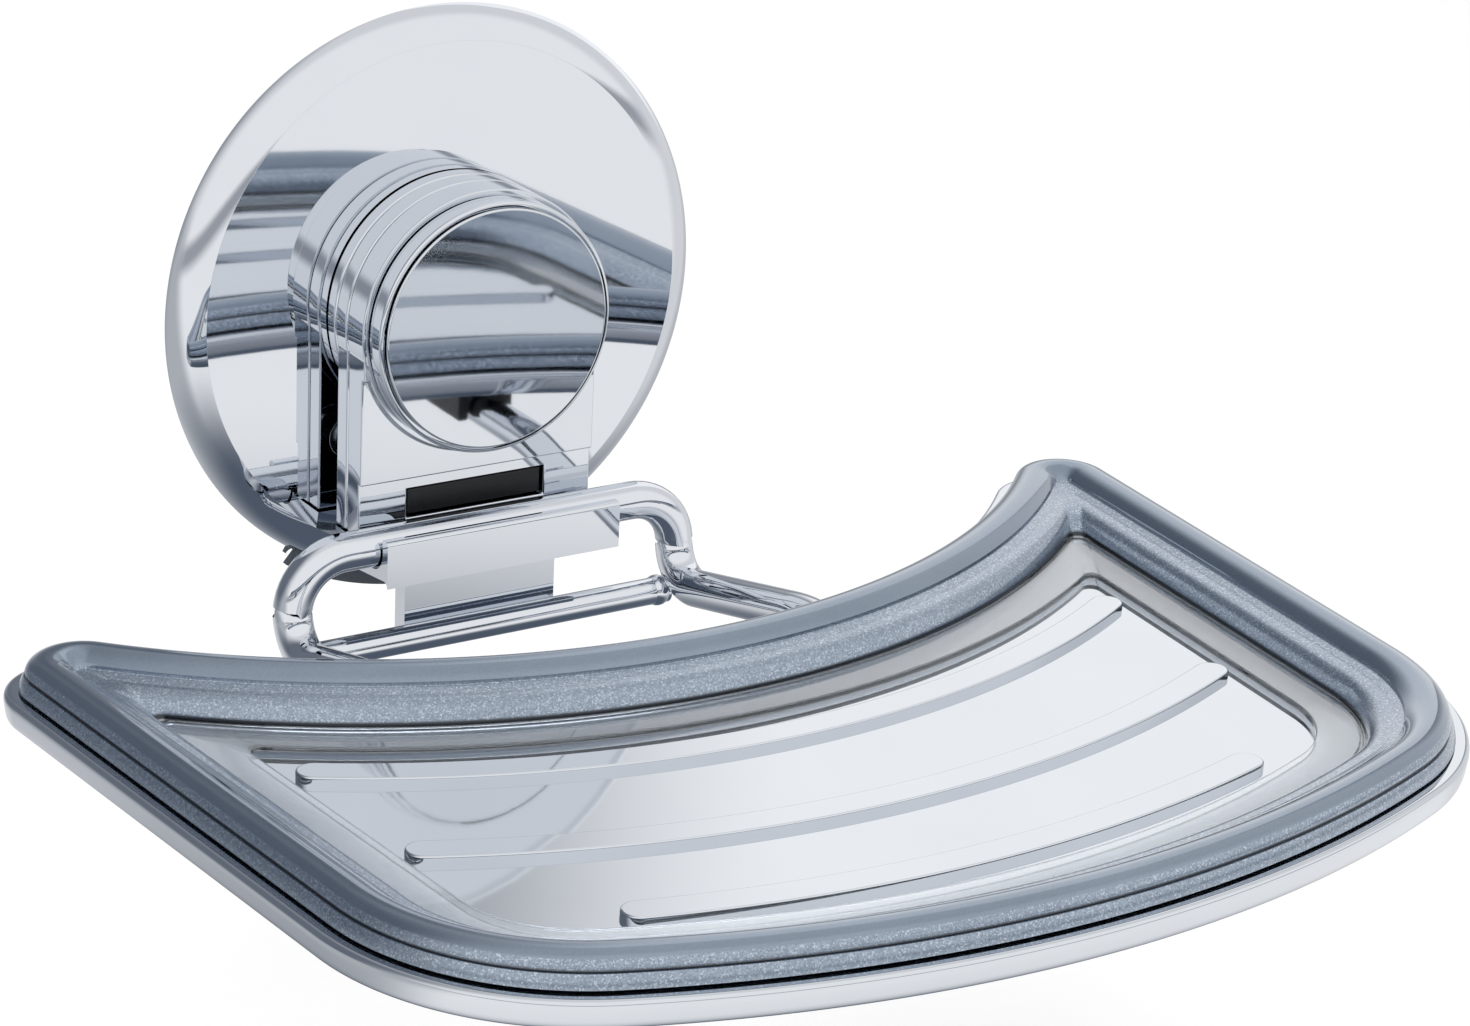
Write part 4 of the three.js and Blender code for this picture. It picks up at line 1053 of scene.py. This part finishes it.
def studio_tone(tree, direction):
    """What polished metal shows of the studio in a direction: white paper in front with a low horizon,
    grey walls, dark corners behind on both sides, grey screens, and the dish's own shade below."""
    def between(value, start, end, low=0, high=1):
        return put(tree, "ShaderNodeMapRange", {
            "Value": value, "From Min": start, "From Max": end, "To Min": low, "To Max": high,
        }, interpolation_type="SMOOTHSTEP").outputs["Result"]

    def math_of(operation, one, two):
        return put(tree, "ShaderNodeMath", {0: one, 1: two}, operation=operation).outputs["Value"]

    along = put(tree, "ShaderNodeVectorMath", {0: direction}, operation="NORMALIZE").outputs["Vector"]
    parts = put(tree, "ShaderNodeSeparateXYZ", {"Vector": along})
    in_front = between(parts.outputs["Y"], 0, FRONT_FULL_AT)
    paper = between(in_front, 0, 1, WALL_LEVEL, 1)
    off_horizon = math_of("ABSOLUTE", math_of("SUBTRACT", parts.outputs["Z"], HORIZON_AT), 0)
    horizon = math_of("MULTIPLY", in_front, between(off_horizon, *HORIZON_REACH, HORIZON_DEPTH, 0))
    level = math_of("MULTIPLY", paper, math_of("SUBTRACT", 1, horizon))
    for aim, start, full, depth in SHADES:
        toward = put(tree, "ShaderNodeVectorMath", {0: along, 1: aim}, operation="DOT_PRODUCT")
        level = math_of("MULTIPLY", level, between(toward.outputs["Value"], start, full, 1, depth))
    return put(tree, "ShaderNodeMix", {
        "Factor": level, "A": SHADE_TINT, "B": WHITE,
    }, data_type="RGBA").outputs["Result"]


FLOOR_Z = -0.1
FLOOR_HALF = 6
FLOOR_FIBRE = 400
PAPER_GLOW = 0.7
DISH_MIDDLE_Y = -0.06
floor_shape = bmesh.new()
for x, y in ((-1, -1), (1, -1), (1, 1), (-1, 1)):
    floor_shape.verts.new((x * FLOOR_HALF, y * FLOOR_HALF, FLOOR_Z))
floor_shape.faces.new(floor_shape.verts)
studio_floor = piece_from("studio_floor", floor_shape)
pale = bpy.data.materials.new("pale studio paper")
pale.use_nodes = True
tree = pale.node_tree
tree.nodes.clear()
place = put(tree, "ShaderNodeTexCoord").outputs["Object"]
fibre = put(tree, "ShaderNodeTexNoise", {"Vector": place, "Scale": FLOOR_FIBRE})
paper = put(tree, "ShaderNodeMix", {
    "Factor": fibre.outputs["Fac"], "A": linear("#f4f4f4"), "B": linear("#fafafa"),
}, data_type="RGBA")
matt = put(tree, "ShaderNodeBsdfDiffuse", {"Color": paper.outputs["Result"]})
rays = put(tree, "ShaderNodeLightPath")
from_dish = put(tree, "ShaderNodeVectorMath", {0: place, 1: (0, DISH_MIDDLE_Y, 0)}, operation="SUBTRACT")
mirrored = studio_tone(tree, from_dish.outputs["Vector"])
glow_tone = put(tree, "ShaderNodeMix", {
    "Factor": rays.outputs["Is Glossy Ray"], "A": WHITE, "B": mirrored,
}, data_type="RGBA")
glow = put(tree, "ShaderNodeEmission", {"Color": glow_tone.outputs["Result"], "Strength": 1})
seen = put(tree, "ShaderNodeMath", {
    0: rays.outputs["Is Camera Ray"], 1: rays.outputs["Is Transmission Ray"],
}, operation="MAXIMUM")
paper_share = put(tree, "ShaderNodeMath", {0: seen.outputs["Value"], 1: PAPER_GLOW}, operation="MULTIPLY")
share = put(tree, "ShaderNodeMath", {
    0: paper_share.outputs["Value"], 1: rays.outputs["Is Glossy Ray"],
}, operation="MAXIMUM")
blend = put(tree, "ShaderNodeMixShader", {
    0: share.outputs["Value"], 1: matt.outputs["BSDF"], 2: glow.outputs["Emission"],
})
put(tree, "ShaderNodeOutputMaterial", {"Surface": blend.outputs["Shader"]})
studio_floor.data.materials.append(pale)


# Light: two large soft boxes that the metal doesn't mirror, and a room that is white to the camera and
# pale grey to everything that it lights. The metal sees the painted studio instead.
def soft_box(name, place, aim, width, height, power):
    lamp = bpy.data.lights.new(name, "AREA")
    lamp.shape = "RECTANGLE"
    lamp.size = width
    lamp.size_y = height
    lamp.energy = power
    holder = bpy.data.objects.new(name, lamp)
    holder.location = place
    holder.rotation_euler = (Vector(aim) - Vector(place)).to_track_quat("-Z", "Y").to_euler()
    holder.visible_glossy = False
    bpy.context.scene.collection.objects.link(holder)


middle = (0, -0.07, -0.01)
soft_box("overhead", (0.1, -0.15, 0.9), middle, 0.8, 0.6, 5)
soft_box("left_front", (-0.85, -0.55, 0.35), middle, 0.5, 0.7, 3)

# A white card behind on the right, soft at its left and lower edges, that only reflections show
CARD_BEHIND = 0.15
CARD_X = (-0.15, 0.45)
CARD_Z = (-0.02, 0.5)
CARD_FADE_X = (0.05, 0.17)
CARD_FADE_Z = (-0.02, 0.05)
CARD_LEVEL = 1.1
card_shape = bmesh.new()
for x, z in ((0, 0), (1, 0), (1, 1), (0, 1)):
    card_shape.verts.new((CARD_X[x], CARD_BEHIND, CARD_Z[z]))
card_shape.faces.new(card_shape.verts)
card = piece_from("white_card", card_shape)
for kind in ("camera", "diffuse", "transmission", "shadow", "volume_scatter"):
    setattr(card, "visible_" + kind, False)
white_card = bpy.data.materials.new("white card, softly lit")
white_card.use_nodes = True
tree = white_card.node_tree
tree.nodes.clear()
sides = put(tree, "ShaderNodeSeparateXYZ", {"Vector": put(tree, "ShaderNodeTexCoord").outputs["Object"]})
across_card = put(tree, "ShaderNodeMapRange", {
    "Value": sides.outputs["X"], "From Min": CARD_FADE_X[0], "From Max": CARD_FADE_X[1],
}, interpolation_type="SMOOTHSTEP")
up_card = put(tree, "ShaderNodeMapRange", {
    "Value": sides.outputs["Z"], "From Min": CARD_FADE_Z[0], "From Max": CARD_FADE_Z[1],
}, interpolation_type="SMOOTHSTEP")
lit_share = put(tree, "ShaderNodeMath", {
    0: across_card.outputs["Result"], 1: up_card.outputs["Result"],
}, operation="MULTIPLY")
card_light = put(tree, "ShaderNodeEmission", {"Color": WHITE, "Strength": CARD_LEVEL})
card_face = put(tree, "ShaderNodeMixShader", {
    0: lit_share.outputs["Value"], 1: put(tree, "ShaderNodeBsdfTransparent").outputs["BSDF"],
    2: card_light.outputs["Emission"],
})
put(tree, "ShaderNodeOutputMaterial", {"Surface": card_face.outputs["Shader"]})
card.data.materials.append(white_card)

ROOM_GREY = (0.8, 0.8, 0.8, 1)
world = bpy.data.worlds.new("studio")
bpy.context.scene.world = world
world.use_nodes = True
tree = world.node_tree
tree.nodes.clear()
direction = put(tree, "ShaderNodeTexCoord").outputs["Generated"]
rays = put(tree, "ShaderNodeLightPath")
ambient = put(tree, "ShaderNodeMix", {
    "Factor": rays.outputs["Is Glossy Ray"], "A": ROOM_GREY, "B": studio_tone(tree, direction),
}, data_type="RGBA")
direct = put(tree, "ShaderNodeMath", {
    0: rays.outputs["Is Camera Ray"], 1: rays.outputs["Is Transmission Ray"],
}, operation="MAXIMUM")
shown = put(tree, "ShaderNodeMix", {
    "Factor": direct.outputs["Value"], "A": ambient.outputs["Result"], "B": WHITE,
}, data_type="RGBA")
lit = put(tree, "ShaderNodeBackground", {"Color": shown.outputs["Result"], "Strength": 1})
put(tree, "ShaderNodeOutputWorld", {"Surface": lit.outputs["Background"]})


# Camera: at the photograph's angle, 0.5 m away, with a lens found by fitting the cup and the tray
FOCAL_PX = 3873.2
PHOTO_WIDTH = 1470
SENSOR = 36
camera_turn = (0.5881, 0.3692, -0.0522)
camera_offset = Vector((-39.3964, -28.9577, 499.1122))
azimuth, elevation, roll = camera_turn
ahead = Vector((
    math.sin(azimuth) * math.cos(elevation), math.cos(azimuth) * math.cos(elevation), -math.sin(elevation),
))
side = ahead.cross(Vector((0, 0, 1))).normalized()
down = ahead.cross(side)
right = side * math.cos(roll) + down * math.sin(roll)
under = down * math.cos(roll) - side * math.sin(roll)
turn = Matrix((right, under, ahead))
lens = bpy.data.cameras.new("camera")
lens.sensor_width = SENSOR
lens.lens = FOCAL_PX * SENSOR / PHOTO_WIDTH
lens.clip_start = 0.01
camera = bpy.data.objects.new("camera", lens)
bpy.context.scene.collection.objects.link(camera)
stand = turn.transposed() @ -camera_offset * MM
camera.matrix_world = Matrix.Translation(stand) @ Matrix((right, -under, -ahead)).transposed().to_4x4()
bpy.context.scene.camera = camera
bpy.context.scene.view_settings.view_transform = "Standard"
